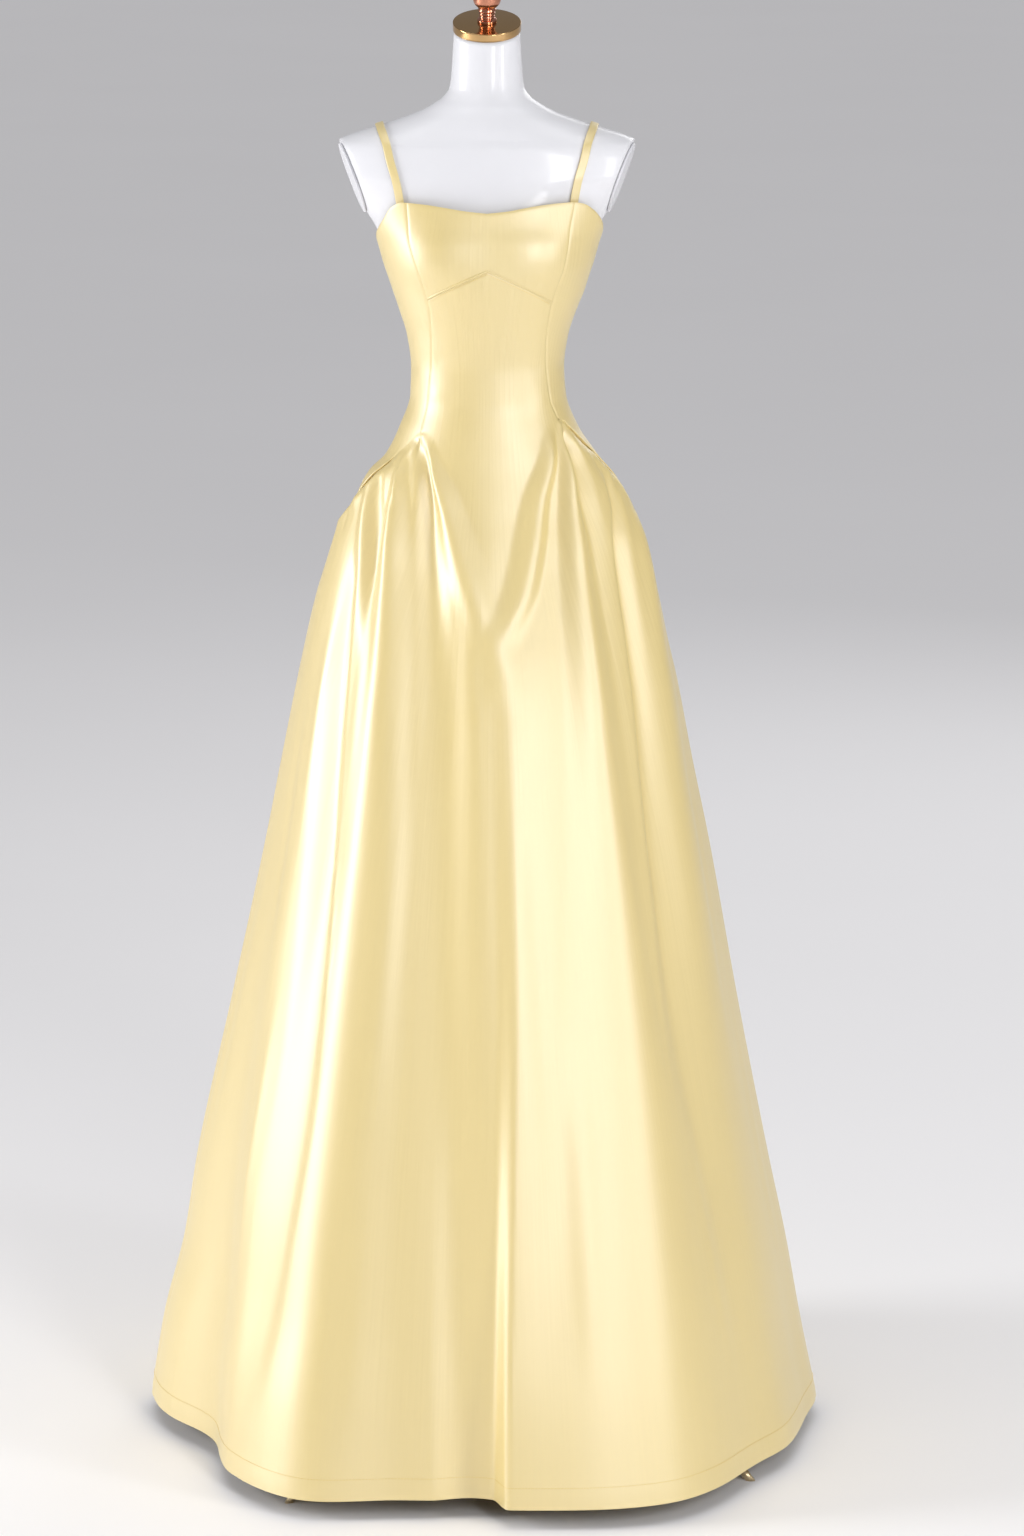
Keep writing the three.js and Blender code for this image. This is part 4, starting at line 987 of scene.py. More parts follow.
class FormSettings(bpy.types.PropertyGroup):
    """The dress form and its fittings."""

    cover: colour_property("Cover", "Colour of the form", (0.78, 0.78, 0.81))
    plate: colour_property("Arm plates", "Colour of the arm plates", (0.72, 0.72, 0.75))
    gold: colour_property("Cap", "Metal of the neck cap", (0.60, 0.38, 0.17))
    copper: colour_property("Finial", "Metal of the finial", (0.62, 0.27, 0.17))
    stand: colour_property("Stand", "Metal of the stand", (0.70, 0.56, 0.34))


class StageSettings(bpy.types.PropertyGroup):
    """Floor, lights and camera."""

    floor: colour_property("Floor", "Colour of the floor", (0.88, 0.87, 0.88))
    key: FloatProperty(name="Key light", description="Power of the soft key", default=92, unit="POWER")
    side: FloatProperty(name="Side light", description="Power of the soft light on the left",
                        default=134, unit="POWER")
    fill: FloatProperty(name="Fill light", description="Power of the fill", default=54, unit="POWER")
    back: FloatProperty(name="Back light", description="Power of the back light", default=25,
                        unit="POWER")
    overhead: FloatProperty(name="Overhead", description="Strength of the even light from above",
                            default=1.0)
    distance: length_property("Camera distance", "From the dress's middle along the floor", 7.2)
    height: length_property("Camera height", "Above the floor", 2.35)


# ---- cloth pieces -------------------------------------------------------------------------
def satin_materials(settings):
    return [
        shared("dress_satin", satin, settings.colour, settings.roughness, settings.sheen),
        shared("dress_satin_wrong_side", satin, settings.wrong_colour, 0.62, 0.1),
    ]


class DRESS_OT_bodice(bpy.types.Operator):
    """Make the bust panel and the four side panels"""

    bl_idname = "dress.bodice"
    bl_label = "Bodice panels"

    def execute(self, context):
        settings = context.scene.dress_cloth
        self.bust_panel(settings)
        for side, sign in (("left", -1), ("right", 1)):
            self.side_panel(f"side_front_{side}", side, sign, settings)
            self.side_panel(f"side_back_{side}", side, sign, settings)
        return {"FINISHED"}

    def bust_panel(self, settings):
        columns = spread(FRONT_CORNER["left"], FRONT_CORNER["right"], BUST_ACROSS)
        angle, z = between_seams(
            lambda side: 0.0, under_bust_share, top_line,
            lambda a: under_bust_line(a) + SEAM_GAP / 2, columns, spread(0, 1, BUST_CELLS))
        quads = grid_quads(np.arange(angle.size).reshape(angle.shape))
        piece = cloth_piece("bust_panel_satin", angle.ravel(), z.ravel(), quads,
                            settings.wall / MM, satin_materials(settings))
        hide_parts("bust_panel")

    def side_panel(self, name, side, sign, settings):
        """From a princess seam to the side seam, ending on the slanting hip seam."""
        behind = "back" in name
        corner = sign * BACK_CORNER if behind else FRONT_CORNER[side]

        def seam(height):
            return sign * princess(height, "back") if behind else princess(height, side)

        edge = sign * SIDE_SEAM
        columns = spread(corner, edge, SIDE_ACROSS)
        share = spread(0, 1, SIDE_ACROSS)
        top = top_line(seam(TOP_HEIGHT) + (edge - seam(TOP_HEIGHT)) * share)
        down = spread(0, 1, SIDE_CELLS)[:, None]
        z = top + (hip_line(columns) + SEAM_GAP / 2 - top) * down
        first_top = top_line(seam(TOP_HEIGHT))
        along = seam(first_top + (hip_line(corner) - first_top) * down)
        angle = along + (edge - along) * share
        angle[-1] = columns
        inward = math.copysign(1, edge - corner)
        angle[:, 0] += inward * half_seam(angle[:, 0], z[:, 0])
        angle[:, -1] -= inward * half_seam(angle[:, -1], z[:, -1])
        if inward < 0:
            angle, z = angle[:, ::-1], z[:, ::-1]
        quads = grid_quads(np.arange(angle.size).reshape(angle.shape))
        piece = cloth_piece(f"{name}_satin", angle.ravel(), z.ravel(), quads,
                            settings.wall / MM, satin_materials(settings))
        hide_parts(name)


class DRESS_OT_front_panel(bpy.types.Operator):
    """Make the front panel: midriff and the whole front of the skirt in one"""

    bl_idname = "dress.front_panel"
    bl_label = "Front panel"

    def execute(self, context):
        settings = context.scene.dress_cloth
        columns = columns_through(FRONT_STOPS, FRONT_FINER)
        inside = (columns >= FRONT_CORNER["left"]) & (columns <= FRONT_CORNER["right"])
        upper = between_seams(
            under_bust_share, lambda side: 1.0, lambda a: under_bust_line(a) - SEAM_GAP / 2,
            hip_line, columns[inside], spread(0, 1, WAIST_CELLS))
        lower = skirt_grid(columns, np.where(inside, 0, SEAM_GAP / 2), spread(0, 1, SKIRT_CELLS))
        angle, z, quads = join_grids(upper, lower, int(np.argmax(inside)))
        piece = cloth_piece("front_panel_satin", angle, z, quads, settings.wall / MM,
                            satin_materials(settings))
        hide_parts("front_panel")
        return {"FINISHED"}


class DRESS_OT_back_panels(bpy.types.Operator):
    """Make the two back panels, from the centre-back seam round to the side seams"""

    bl_idname = "dress.back_panels"
    bl_label = "Back panels"

    def execute(self, context):
        settings = context.scene.dress_cloth
        for side, sign in (("left", -1), ("right", 1)):
            self.back_panel(side, sign, settings)
        return {"FINISHED"}

    def back_panel(self, side, sign, settings):
        centre, corner = 180 * sign, BACK_CORNER * sign
        columns = np.sort(columns_through(BACK_STOPS, BACK_FINER) * sign)
        inside = np.abs(columns) >= BACK_CORNER
        middle = columns[inside]

        def seam(height):
            return sign * princess(height, "back")

        share = (centre - middle) / (centre - corner)
        top = top_line(centre - (centre - seam(TOP_HEIGHT)) * share)
        down = spread(0, 1, SIDE_CELLS)[:, None]
        z = top + (hip_line(middle) - top) * down
        first_top = top_line(seam(TOP_HEIGHT))
        along = seam(first_top + (hip_line(corner) - first_top) * down)
        angle = centre - (centre - along) * share
        inset = np.where(middle == corner, sign, np.where(middle == centre, -sign, 0))
        angle = angle + inset * half_seam(angle, z)
        gap = np.where(inside, 0, SEAM_GAP / 2)
        lower = skirt_grid(columns, gap, spread(0, 1, SKIRT_CELLS))
        angle, z, quads = join_grids((angle, z), lower, int(np.argmax(inside)))
        piece = cloth_piece(f"back_{side}_satin", angle, z, quads, settings.wall / MM,
                            satin_materials(settings))
        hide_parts(f"back_{side}")


# ---- straps -------------------------------------------------------------------------------
STRAP = {"width": 9.5, "thick": 1.8, "lift": 1.5, "joint_lift": 2.4, "joint_gap": -4.0,
         "joint_share": 0.16, "steps": 120, "sides": 20, "centre": 1510, "furthest": 260.0,
         "search": 600, "beyond": 8, "halvings": 40}
STRAP_FOLD = {"out": 0.35, "at": 1.4, "wide": 0.9}
STRAP_LINE = Table("elevation x", [
    [20, 103], [34, 107], [55, 118], [80, 128], [100, 130], [120, 124], [150, 106], [180, 92],
    [204, 84],
])
ARM_PLATE = {"x": 160, "z": 1563, "down": 20, "forward": 8, "half_height": 44, "half_width": 40,
             "thick": 3}
PLATE_UNIT = 50      # height of the plate's profile that counts as much as its radius in rounding
NECK_CAP = {"radius": 41, "thick": 10, "top": 1749, "tilt": 18, "round": 0.9}
PLACE_GAP = 0.4


def arm_plane(sign):
    down, forward = ARM_PLATE["down"] * RADIANS, ARM_PLATE["forward"] * RADIANS
    normal = Vector((sign * math.cos(down) * math.cos(forward),
                     -math.cos(down) * math.sin(forward), -math.sin(down)))
    return normal, Vector((sign * ARM_PLATE["x"], 0, ARM_PLATE["z"]))


def torso_radius(angle, z):
    """The form's surface, cut off flat where the arm plates sit."""
    along = np.where(np.abs(turn(angle)) < 90, TORSO.read(z, "front"), TORSO.read(z, "back"))
    radius = ring(angle, TORSO.read(z, "side"), along, TORSO.read(z, "square"))
    a = angle * RADIANS
    for normal, point in (arm_plane(-1), arm_plane(1)):
        out = np.sin(a) * normal.x - np.cos(a) * normal.y
        limit = (normal.dot(point) - normal.z * z) / np.where(out > 0.2, out, 1)
        radius = np.where(out > 0.2, np.minimum(radius, limit), radius)
    return radius


class DRESS_OT_straps(bpy.types.Operator):
    """Make the two folded straps, from the front corners over the shoulders to the back"""

    bl_idname = "dress.straps"
    bl_label = "Straps"

    def execute(self, context):
        settings = context.scene.dress_cloth
        for side, sign in (("left", -1), ("right", 1)):
            points, faces = tube(self.rings(sign))
            piece = new_object(f"strap_{side}_satin", points, faces,
                               [satin_materials(settings)[0]])
            lay_threads(piece, points[:, [0, 2, 1]] * MM)
            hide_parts(f"strap_{side}")
        return {"FINISHED"}

    def reach(self, x, elevation):
        """How far the form's surface is from the strap's centre line, at an elevation."""
        dy, dz = -np.cos(elevation * RADIANS), np.sin(elevation * RADIANS)
        inside, outside = np.zeros_like(x), np.full_like(x, STRAP["furthest"])
        for _ in range(STRAP["halvings"]):
            middle = (inside + outside) / 2
            y = dy * middle
            angle = np.arctan2(x, -y) / RADIANS
            within = np.hypot(x, y) < torso_radius(angle, STRAP["centre"] + dz * middle)
            inside, outside = np.where(within, middle, inside), np.where(within, outside, middle)
        return inside

    def points(self, sign, elevation, across, lift):
        x = STRAP_LINE.read(elevation, "x") + across
        d = self.reach(x, elevation) + lift
        y = -np.cos(elevation * RADIANS) * d
        z = STRAP["centre"] + np.sin(elevation * RADIANS) * d
        return np.stack([sign * x, y, z], -1)

    def rings(self, sign):
        """Flat sections with round edges, from where the strap leaves the front to the back."""
        beyond = STRAP["beyond"]
        tries = spread(STRAP_LINE.keys[0] - beyond, STRAP_LINE.keys[-1] + beyond, STRAP["search"])
        middle = self.points(sign, tries, 0.0, STRAP["joint_lift"])
        over = middle[:, 2] - top_line(np.arctan2(middle[:, 0], -middle[:, 1]) / RADIANS)
        clear = tries[over > STRAP["joint_gap"]]
        t = spread(0, 1, STRAP["steps"])
        elevation = clear[0] + (clear[-1] - clear[0]) * t
        near = 1 - smooth(np.minimum(t, 1 - t) / STRAP["joint_share"])
        lift = STRAP["lift"] + (STRAP["joint_lift"] - STRAP["lift"]) * near
        turned_by = spread(0, 2 * math.pi, STRAP["sides"])[:-1]
        half = STRAP["width"] / 2
        rings = []
        for a in turned_by:
            side, up = math.cos(a), math.sin(a)
            across = half * math.copysign(abs(side) ** 0.35, side)
            rise = 0.5 + 0.5 * math.copysign(abs(up) ** 0.6, up)
            crest = bell(across - STRAP_FOLD["at"], STRAP_FOLD["wide"]) * (up > 0)
            out = lift + STRAP["thick"] * rise + STRAP_FOLD["out"] * crest
            rings.append(self.points(sign, elevation, across, out))
        rings = np.stack(rings, axis=1)
        return rings[:, ::-1] if sign > 0 else rings


# ---- sewing -------------------------------------------------------------------------------
# The turned edge of each hip seam, the tuck under the bust and the stitches.
HIP_ROLL = {"left": -70, "right": 63, "above": 0.4, "lift": 0.9, "half_width": 1.3,
            "half_height": 0.9, "end_width": 0.1, "end_height": 0.05, "end_share": 0.06}
TUCK = {"seam_height": 1432, "inset": 0.6, "above": 1.9, "lift": 0.35, "wider": 0.25}
# The tuck's half height at some angles.
TUCK_SIZE = [[-39.6, 1.0], [-3, 1.1], [6, 0.6], [20, 0.4], [44.4, 0.3]]
STITCH = {"seam_height": 1426, "inset": 1.2, "below": 2.2, "hem_length": 1.5, "shown": 0.74,
          "steps": 4, "sides": 5, "sink": 0.4, "lift": 0.3, "bust_path": 699, "hem_path": 2499}
# Steps over which the cloth's direction is measured.
NEARBY = {"degrees": 0.4, "up": 1.5}


def on_cloth(angle, z, lift):
    """Points and outward directions on the cloth, lifted off it."""
    def main_point(angle, z):
        return place(main_radius(angle, z), angle, z)

    angle, z = np.asarray(angle, float), np.asarray(z, float)
    here = place(cloth_radius(angle, z), angle, z)
    beside, up = NEARBY["degrees"], NEARBY["up"]
    across = main_point(angle + beside, z) - main_point(angle - beside, z)
    normal = np.cross(across, main_point(angle, z + up) - main_point(angle, z - up))
    normal = normal / np.linalg.norm(normal, axis=-1, keepdims=True)
    return here + normal * lift, normal


def cord_rings(points, normals, half_width, half_height, sides=10):
    """Rings of a flattened cord that lies along a line on the cloth."""
    along = np.gradient(points, axis=0)
    along = along / np.linalg.norm(along, axis=1, keepdims=True)
    across = np.cross(normals, along)
    a = np.arange(sides) * 2 * math.pi / sides
    half_width = np.broadcast_to(half_width, len(points))[:, None, None]
    half_height = np.broadcast_to(half_height, len(points))[:, None, None]
    ring_points = points[:, None] + np.cos(a)[:, None] * across[:, None] * half_width
    return ring_points + np.sin(a)[:, None] * normals[:, None] * half_height


def between_princess_seams(sewing, cells):
    """Angles from one front princess seam to the other, at the height and inset of some sewing."""
    left, right = (princess(sewing["seam_height"], side) for side in ("left", "right"))
    return spread(left + sewing["inset"], right - sewing["inset"], cells)


class DRESS_OT_sewing(bpy.types.Operator):
    """Make the turned hip seams, the under-bust tuck and the stitches"""

    bl_idname = "dress.sewing"
    bl_label = "Seams and stitches"

    def execute(self, context):
        settings = context.scene.dress_cloth
        cloth = satin_materials(settings)[0]
        for side, sign in (("left", -1), ("right", 1)):
            self.hip_roll(f"hip_seam_{side}", HIP_ROLL[side], sign * BACK_CORNER, cloth)
        self.tuck(cloth)
        self.stitches(settings)
        return {"FINISHED"}

    def hip_roll(self, name, start, end, cloth):
        """The turned edge of the bodice, a narrow uneven roll that lies over the skirt."""
        t = spread(0, 1, ROLL_CELLS)
        angle = start + (end - start) * t
        points, normals = on_cloth(angle, hip_line(angle) + HIP_ROLL["above"], HIP_ROLL["lift"])
        uneven = 1 + 0.16 * np.sin(t * 61) + 0.12 * np.sin(t * 23 + 1.3)
        full = uneven * smooth(np.minimum(t, 1 - t) / HIP_ROLL["end_share"])
        half_width = HIP_ROLL["half_width"] * full + HIP_ROLL["end_width"]
        half_height = HIP_ROLL["half_height"] * full + HIP_ROLL["end_height"]
        points, faces = tube(cord_rings(points, normals, half_width, half_height))
        piece = new_object(name, points, faces, [cloth])
        lay_threads(piece, points * MM)

    def tuck(self, cloth):
        """A narrow tuck along the under-bust seam, firm on the left and fading on the right."""
        angle = between_princess_seams(TUCK, TUCK_CELLS)
        points, normals = on_cloth(angle, under_bust_line(angle) + TUCK["above"], TUCK["lift"])
        size = np.interp(angle, *zip(*TUCK_SIZE))
        points, faces = tube(cord_rings(points, normals, size + TUCK["wider"], size))
        piece = new_object("under_bust_tuck", points, faces, [cloth])
        lay_threads(piece, points * MM)

    def stitches(self, settings):
        """Rows of small stitches below the under-bust seam and above the turned hem."""
        thread = shared("sewing_thread", moulded, tinted(settings.colour, 1.04)[:3], 0.5, 0.0)
        pitch, half = settings.stitch / MM, settings.thread / MM / 2
        angle = between_princess_seams(STITCH, STITCH["bust_path"])
        z = under_bust_line(angle) - STITCH["below"]
        self.stitch_row("under_bust_stitches", angle, z, pitch, half, thread)
        stretches = {"front": (-SIDE_SEAM, SIDE_SEAM), "back_left": (-180, -SIDE_SEAM),
                     "back_right": (SIDE_SEAM, 180)}
        for name, (first, last) in stretches.items():
            angle = spread(first, last, STITCH["hem_path"])
            z = np.full_like(angle, HEM_HEIGHT + HEM["turning"])
            self.stitch_row(f"hem_stitches_{name}", angle, z, pitch * STITCH["hem_length"], half, thread)

    def stitch_row(self, name, angle, z, pitch, half, thread):
        points, normals = on_cloth(angle, z, half * STITCH["lift"])
        length = np.concatenate([[0], np.cumsum(np.linalg.norm(np.diff(points, axis=0), axis=1))])
        all_points, all_faces = [], []
        share = spread(0, 1, STITCH["steps"])
        arch = (np.sin(share * math.pi)[:, None] - STITCH["sink"]) * half
        for start in np.arange(0, length[-1] - pitch, pitch):
            at = start + pitch * STITCH["shown"] * share
            line = np.stack([np.interp(at, length, points[:, k]) for k in range(3)], -1)
            out = np.stack([np.interp(at, length, normals[:, k]) for k in range(3)], -1)
            some, faces = tube(cord_rings(line + out * arch, out, half, half, STITCH["sides"]))
            offset = sum(len(p) for p in all_points)
            all_points.append(some)
            all_faces.extend([[int(v) + offset for v in f] for f in faces])
        new_object(name, np.concatenate(all_points), all_faces, [thread])


# ---- the form and the stand ---------------------------------------------------------------
AXIS = 0.4           # radius at which a turned solid is closed by a fan
FORM = {"bottom": 1084, "shoulder": 1500, "neck": 1700, "top": 1770, "neck_inset": 0.5,
        "body_rows": 60, "shoulder_rows": 110, "neck_rows": 8}
FLANGE = {"radius": 34, "thick": 8, "round": 1.2}
POLE = {"radius": 13, "round": 0.8}
HUB = {"bottom": 74, "top": 148, "round": 1.6}
SIDES = {"plate": 96, "cap": 128, "finial": 72, "stand": 64}
FINIAL_PROFILE = Table("z radius", [
    [0, 11.5], [3, 11.5], [5, 8.5], [7, 9.5], [9, 8.5], [11, 10], [13, 9], [15.5, 11], [18, 10],
    [21, 13], [25, 16], [30, 17], [36, 17], [40, 15.5], [43, 11], [46, 8], [50, 8], [53, 11],
    [58, 13.5], [64, 14], [71, 12], [76, 7.5], [78, 0.4],
])
HUB_PROFILE = [[10, 74], [16, 80], [13, 86], [23, 92], [27, 98], [27, 126], [23, 132], [17, 136],
               [17, 142], [14, 145], [14, 148]]
LEG = {"count": 4, "first_angle": 53.4, "sides": 24, "steps": 60}
LEG_LINE = Table("reach z half_width half_height", [
    [36, 112, 12, 11],
    [80, 124, 12, 10],
    [150, 122, 11, 8.5],
    [220, 100, 9.5, 7.5],
    [290, 66, 8, 6.5],
    [345, 36, 6.5, 5.5],
    [384, 14, 5.5, 5],
    [399, 0, 5, 5],
])


def neck_top_height(y):
    tilt = NECK_CAP["tilt"] * RADIANS
    bottom = NECK_CAP["top"] - (NECK_CAP["thick"] + PLACE_GAP) / math.cos(tilt)
    return bottom + y * math.tan(tilt)


def tilted(points):
    """Points of the neck's fittings, tilted forward with the neck's top."""
    tilt = NECK_CAP["tilt"] * RADIANS
    x, y, z = np.asarray(points).T
    level = y * math.cos(tilt) - z * math.sin(tilt)
    return np.stack([x, level, NECK_CAP["top"] + y * math.sin(tilt) + z * math.cos(tilt)], -1)


class DRESS_OT_form(bpy.types.Operator):
    """Make the form's torso and arm plates"""

    bl_idname = "dress.form"
    bl_label = "Dress form"

    def execute(self, context):
        settings = context.scene.dress_form
        cover = shared("form_lacquer", moulded, settings.cover, 0.34, 0.35)
        body = spread(FORM["bottom"], FORM["shoulder"], FORM["body_rows"])[:-1]
        shoulders = spread(FORM["shoulder"], FORM["neck"], FORM["shoulder_rows"])
        angles = spread(-180, 180, TORSO_SIDES)[:-1]
        rings = np.array([place(torso_radius(angles, z), angles, z) for z in [*body, *shoulders]])
        neck_radius = TORSO.read(FORM["top"], "side") - FORM["neck_inset"]
        neck = place(np.full_like(angles, neck_radius), angles, 0.0)
        neck[:, 2] = neck_top_height(neck[:, 1])
        rise = spread(0, 1, FORM["neck_rows"])[1:, None, None]
        points, faces = tube(np.concatenate([rings, rings[-1] + (neck - rings[-1]) * rise]))
        torso = new_object("form_torso_cover", points, faces, [cover])
        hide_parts("form_torso")
        plate = shared("arm_plate_lacquer", moulded, settings.plate, 0.42, 0.1)
        for side, sign in (("left", -1), ("right", 1)):
            self.arm_plate(f"form_arm_plate_{side}", sign, plate)
        return {"FINISHED"}

    def arm_plate(self, name, sign, material):
        """An oval plate with a rounded edge."""
        normal, point = arm_plane(sign)
        level = Vector((0, 0, 1)).cross(normal).normalized()
        up = normal.cross(level)
        middle, rim, thick = 0.01, 0.6, ARM_PLATE["thick"] / PLATE_UNIT
        profile = rounded([[middle, 0], [1, 0], [1, thick], [rim, thick], [middle, thick]], 0.025)
        points, faces = tube(lathe(profile, SIDES["plate"]))
        sizes = np.array([ARM_PLATE["half_width"], ARM_PLATE["half_height"], PLATE_UNIT])
        centre = np.array(point + normal * PLACE_GAP)
        world = centre + points * sizes @ np.array([level, up, normal])
        piece = new_object(f"{name}_cover", world, faces, [material])
        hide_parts(name)


class DRESS_OT_fittings(bpy.types.Operator):
    """Make the polished neck cap and the turned finial"""

    bl_idname = "dress.fittings"
    bl_label = "Neck cap and finial"

    def execute(self, context):
        settings = context.scene.dress_form
        radius, thick = NECK_CAP["radius"], NECK_CAP["thick"]
        profile = [[AXIS, -thick], [radius, -thick], [radius, 0], [AXIS, 0]]
        points, faces = tube(lathe(rounded(profile, NECK_CAP["round"]), SIDES["cap"]))
        gold = shared("polished_gold", metal, settings.gold, 0.06, 0.1)
        cap = new_object("neck_cap_polished", tilted(points), faces, [gold])
        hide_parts("form_neck_cap")
        heights = spread(0, FINIAL_PROFILE.keys[-1], FINIAL_CELLS)
        profile = [[AXIS, 0]] + [[float(FINIAL_PROFILE.read(h, "radius")), h] for h in heights]
        points, faces = tube(lathe([[r, h + PLACE_GAP] for r, h in profile], SIDES["finial"]))
        copper = shared("polished_copper", metal, settings.copper, 0.10, 0.12)
        finial = new_object("finial_turned", tilted(points), faces, [copper])
        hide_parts("form_finial")
        return {"FINISHED"}


class DRESS_OT_stand(bpy.types.Operator):
    """Make the pole, flange, hub and the four legs"""

    bl_idname = "dress.stand"
    bl_label = "Stand"

    def execute(self, context):
        settings = context.scene.dress_form
        material = shared("stand_lacquer", metal, settings.stand, 0.24, 0.12, 0.85)
        flange_top = FORM["bottom"] - PLACE_GAP
        flange_bottom = flange_top - FLANGE["thick"]
        pole = self.cylinder(POLE["radius"], HUB["top"] + PLACE_GAP, flange_bottom - PLACE_GAP)
        hub = [[AXIS, HUB["bottom"]], *HUB_PROFILE, [AXIS, HUB["top"]]]
        turned_parts = {
            "stand_flange": rounded(self.cylinder(FLANGE["radius"], flange_bottom, flange_top),
                                    FLANGE["round"]),
            "stand_pole": rounded(pole, POLE["round"]),
            "stand_hub": rounded(hub, HUB["round"]),
        }
        for name, profile in turned_parts.items():
            points, faces = tube(lathe(profile, SIDES["stand"]))
            piece = new_object(f"{name}_lacquered", points, faces, [material])
            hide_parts(name)
        for index in range(LEG["count"]):
            points, faces = tube(self.leg_rings(index))
            piece = new_object(f"stand_leg_{index + 1}_lacquered", points, faces, [material])
            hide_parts(f"stand_leg_{index + 1}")
        return {"FINISHED"}

    def cylinder(self, radius, bottom, top):
        return [[AXIS, bottom], [radius, bottom], [radius, top], [AXIS, top]]

    def leg_rings(self, index):
        angle = (LEG["first_angle"] + index * 360 / LEG["count"]) * RADIANS
        out = np.array([math.sin(angle), -math.cos(angle), 0])
        across = np.array([out[1], -out[0], 0])
        reach = spread(LEG_LINE.keys[0], LEG_LINE.keys[-1], LEG["steps"])
        centre = out * reach[:, None] + np.array([0, 0, 1]) * LEG_LINE.read(reach, "z")[:, None]
        along = np.gradient(centre, axis=0)
        along = along / np.linalg.norm(along, axis=1, keepdims=True)
        rise = np.cross(along, across)
        a = (np.arange(LEG["sides"]) + 0.5) * 2 * math.pi / LEG["sides"]
        wide = LEG_LINE.read(reach, "half_width")[:, None, None]
        high = LEG_LINE.read(reach, "half_height")[:, None, None]
        rings = centre[:, None] + np.cos(a)[:, None] * across * wide
        rings = rings + np.sin(a)[:, None] * rise[:, None] * high
        foot = rings[-1]
        rings[-1] = foot - along[-1] * (foot[:, 2] / along[-1, 2])[:, None]
        rings[..., 2] = np.maximum(rings[..., 2], 0)
        return rings


# ---- the stage ----------------------------------------------------------------------------
CAMERA = {"lens": 140.39, "sensor": 36, "pitch": 11.8735, "shift": 0.0163}
# Each soft light's place, what it points at, and its width and height, in metres.
SOFT_LIGHTS = {
    "key": ((1.8, -4.7, 2.4), (0, 0, 0.9), (0.8, 2.6)),
    "side": ((-4.25, -0.5, 1.7), (0, 0, 0.8), (1.4, 2.6)),
    "fill": ((3.6, -2.7, 2.0), (0, 0, 0.9), (0.7, 2.6)),
    "back": ((1.8, 4.4, 2.6), (0, 0, 1.0), (2.0, 2.0)),
}
OVERHEAD = {"height": 6, "spread": 50}
SURROUNDINGS = {"colour": (0.80, 0.80, 0.83, 1), "strength": 0.32}
FLOOR = {"half": 30.0, "roughness": 0.55}


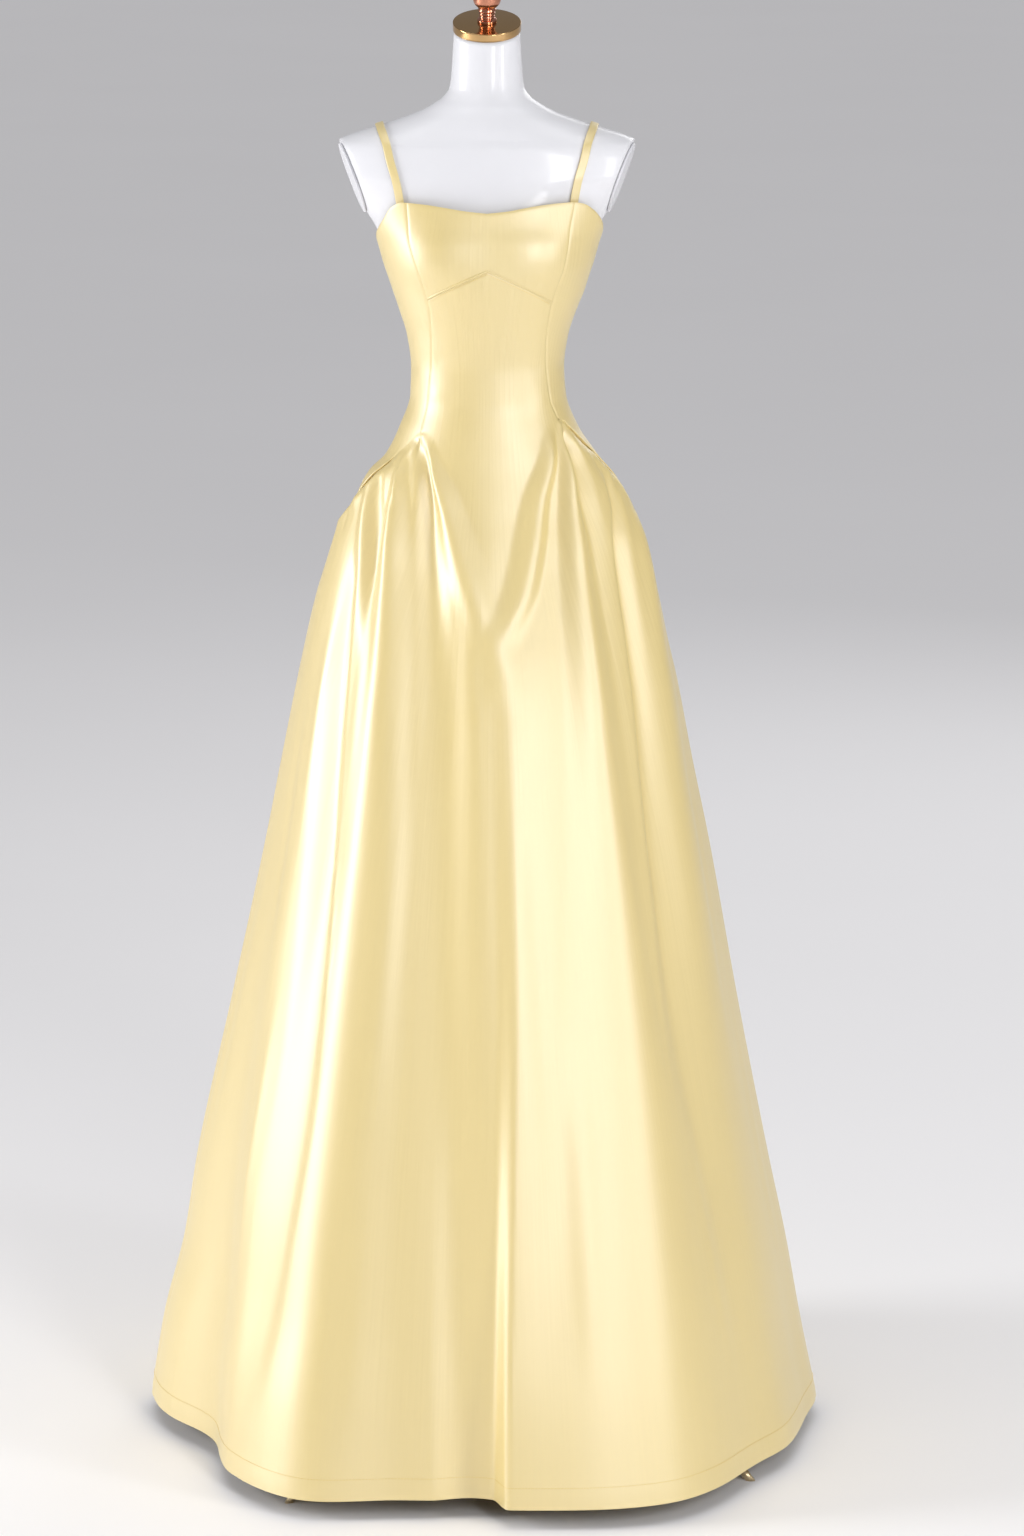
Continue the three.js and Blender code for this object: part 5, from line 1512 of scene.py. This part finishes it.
class DRESS_OT_stage(bpy.types.Operator):
    """Make the floor, the soft lights, the pale surroundings and the camera"""

    bl_idname = "dress.stage"
    bl_label = "Stage"

    def execute(self, context):
        settings = context.scene.dress_stage
        self.floor(settings)
        for name, (at, towards, size) in SOFT_LIGHTS.items():
            self.light(f"{name}_light", at, towards, size, getattr(settings, name))
        self.overhead(settings.overhead)
        self.surroundings()
        self.camera(settings)
        context.scene.view_settings.view_transform = "Standard"
        return {"FINISHED"}

    def floor(self, settings):
        mesh = bpy.data.meshes.new("floor")
        half = FLOOR["half"]
        mesh.from_pydata([(-half, -half, 0), (half, -half, 0), (half, half, 0), (-half, half, 0)],
                         [], [(0, 1, 2, 3)])
        mesh.materials.append(floor_paint(settings.floor, FLOOR["roughness"]))
        linked("floor", mesh)

    def light(self, name, at, towards, size, power):
        data = bpy.data.lights.new(name, "AREA")
        data.shape = "RECTANGLE"
        data.size, data.size_y = size
        data.energy = power
        lamp = linked(name, data)
        lamp.location = at
        aim = Vector(towards) - Vector(at)
        lamp.rotation_euler = aim.to_track_quat("-Z", "Y").to_euler()

    def overhead(self, strength):
        """A wide even light from straight above, for the floor."""
        data = bpy.data.lights.new("overhead_light", "SUN")
        data.energy = strength
        data.angle = OVERHEAD["spread"] * RADIANS
        linked("overhead_light", data).location = (0, 0, OVERHEAD["height"])

    def surroundings(self):
        world = bpy.data.worlds.new("surroundings")
        world.use_nodes = True
        background = world.node_tree.nodes["Background"]
        background.inputs["Color"].default_value = SURROUNDINGS["colour"]
        background.inputs["Strength"].default_value = SURROUNDINGS["strength"]
        bpy.context.scene.world = world

    def camera(self, settings):
        data = bpy.data.cameras.new("camera")
        data.lens = CAMERA["lens"]
        data.sensor_width = CAMERA["sensor"]
        data.shift_x = CAMERA["shift"]
        camera = linked("camera", data)
        camera.location = (0, -settings.distance, settings.height)
        camera.rotation_euler = ((90 - CAMERA["pitch"]) * RADIANS, 0, 0)
        bpy.context.scene.camera = camera


# ---- the add-on ---------------------------------------------------------------------------
# The sewing comes first.
STEPS = (
    DRESS_OT_sewing, DRESS_OT_bodice, DRESS_OT_front_panel, DRESS_OT_back_panels, DRESS_OT_straps,
    DRESS_OT_form, DRESS_OT_fittings, DRESS_OT_stand, DRESS_OT_stage,
)


class DRESS_PT_panel(bpy.types.Panel):
    """The dress's settings and steps"""

    bl_idname = "DRESS_PT_panel"
    bl_label = "Prom Dress"
    bl_space_type = "VIEW_3D"
    bl_region_type = "UI"
    bl_category = "Prom Dress"

    def draw(self, context):
        for group in (context.scene.dress_cloth, context.scene.dress_form, context.scene.dress_stage):
            box = self.layout.box()
            for name in group.__annotations__:
                box.prop(group, name)
        for step in STEPS:
            self.layout.operator(step.bl_idname)


CLASSES = (ClothSettings, FormSettings, StageSettings, *STEPS, DRESS_PT_panel)


def register():
    for each in CLASSES:
        bpy.utils.register_class(each)
    bpy.types.Scene.dress_cloth = PointerProperty(type=ClothSettings)
    bpy.types.Scene.dress_form = PointerProperty(type=FormSettings)
    bpy.types.Scene.dress_stage = PointerProperty(type=StageSettings)


def unregister():
    del bpy.types.Scene.dress_cloth, bpy.types.Scene.dress_form, bpy.types.Scene.dress_stage
    for each in reversed(CLASSES):
        bpy.utils.unregister_class(each)


def main():
    register()
    bpy.ops.dress.sewing()
    bpy.ops.dress.bodice()
    bpy.ops.dress.front_panel()
    bpy.ops.dress.back_panels()
    bpy.ops.dress.straps()
    bpy.ops.dress.form()
    bpy.ops.dress.fittings()
    bpy.ops.dress.stand()
    bpy.ops.dress.stage()


if __name__ == "__main__":
    main()
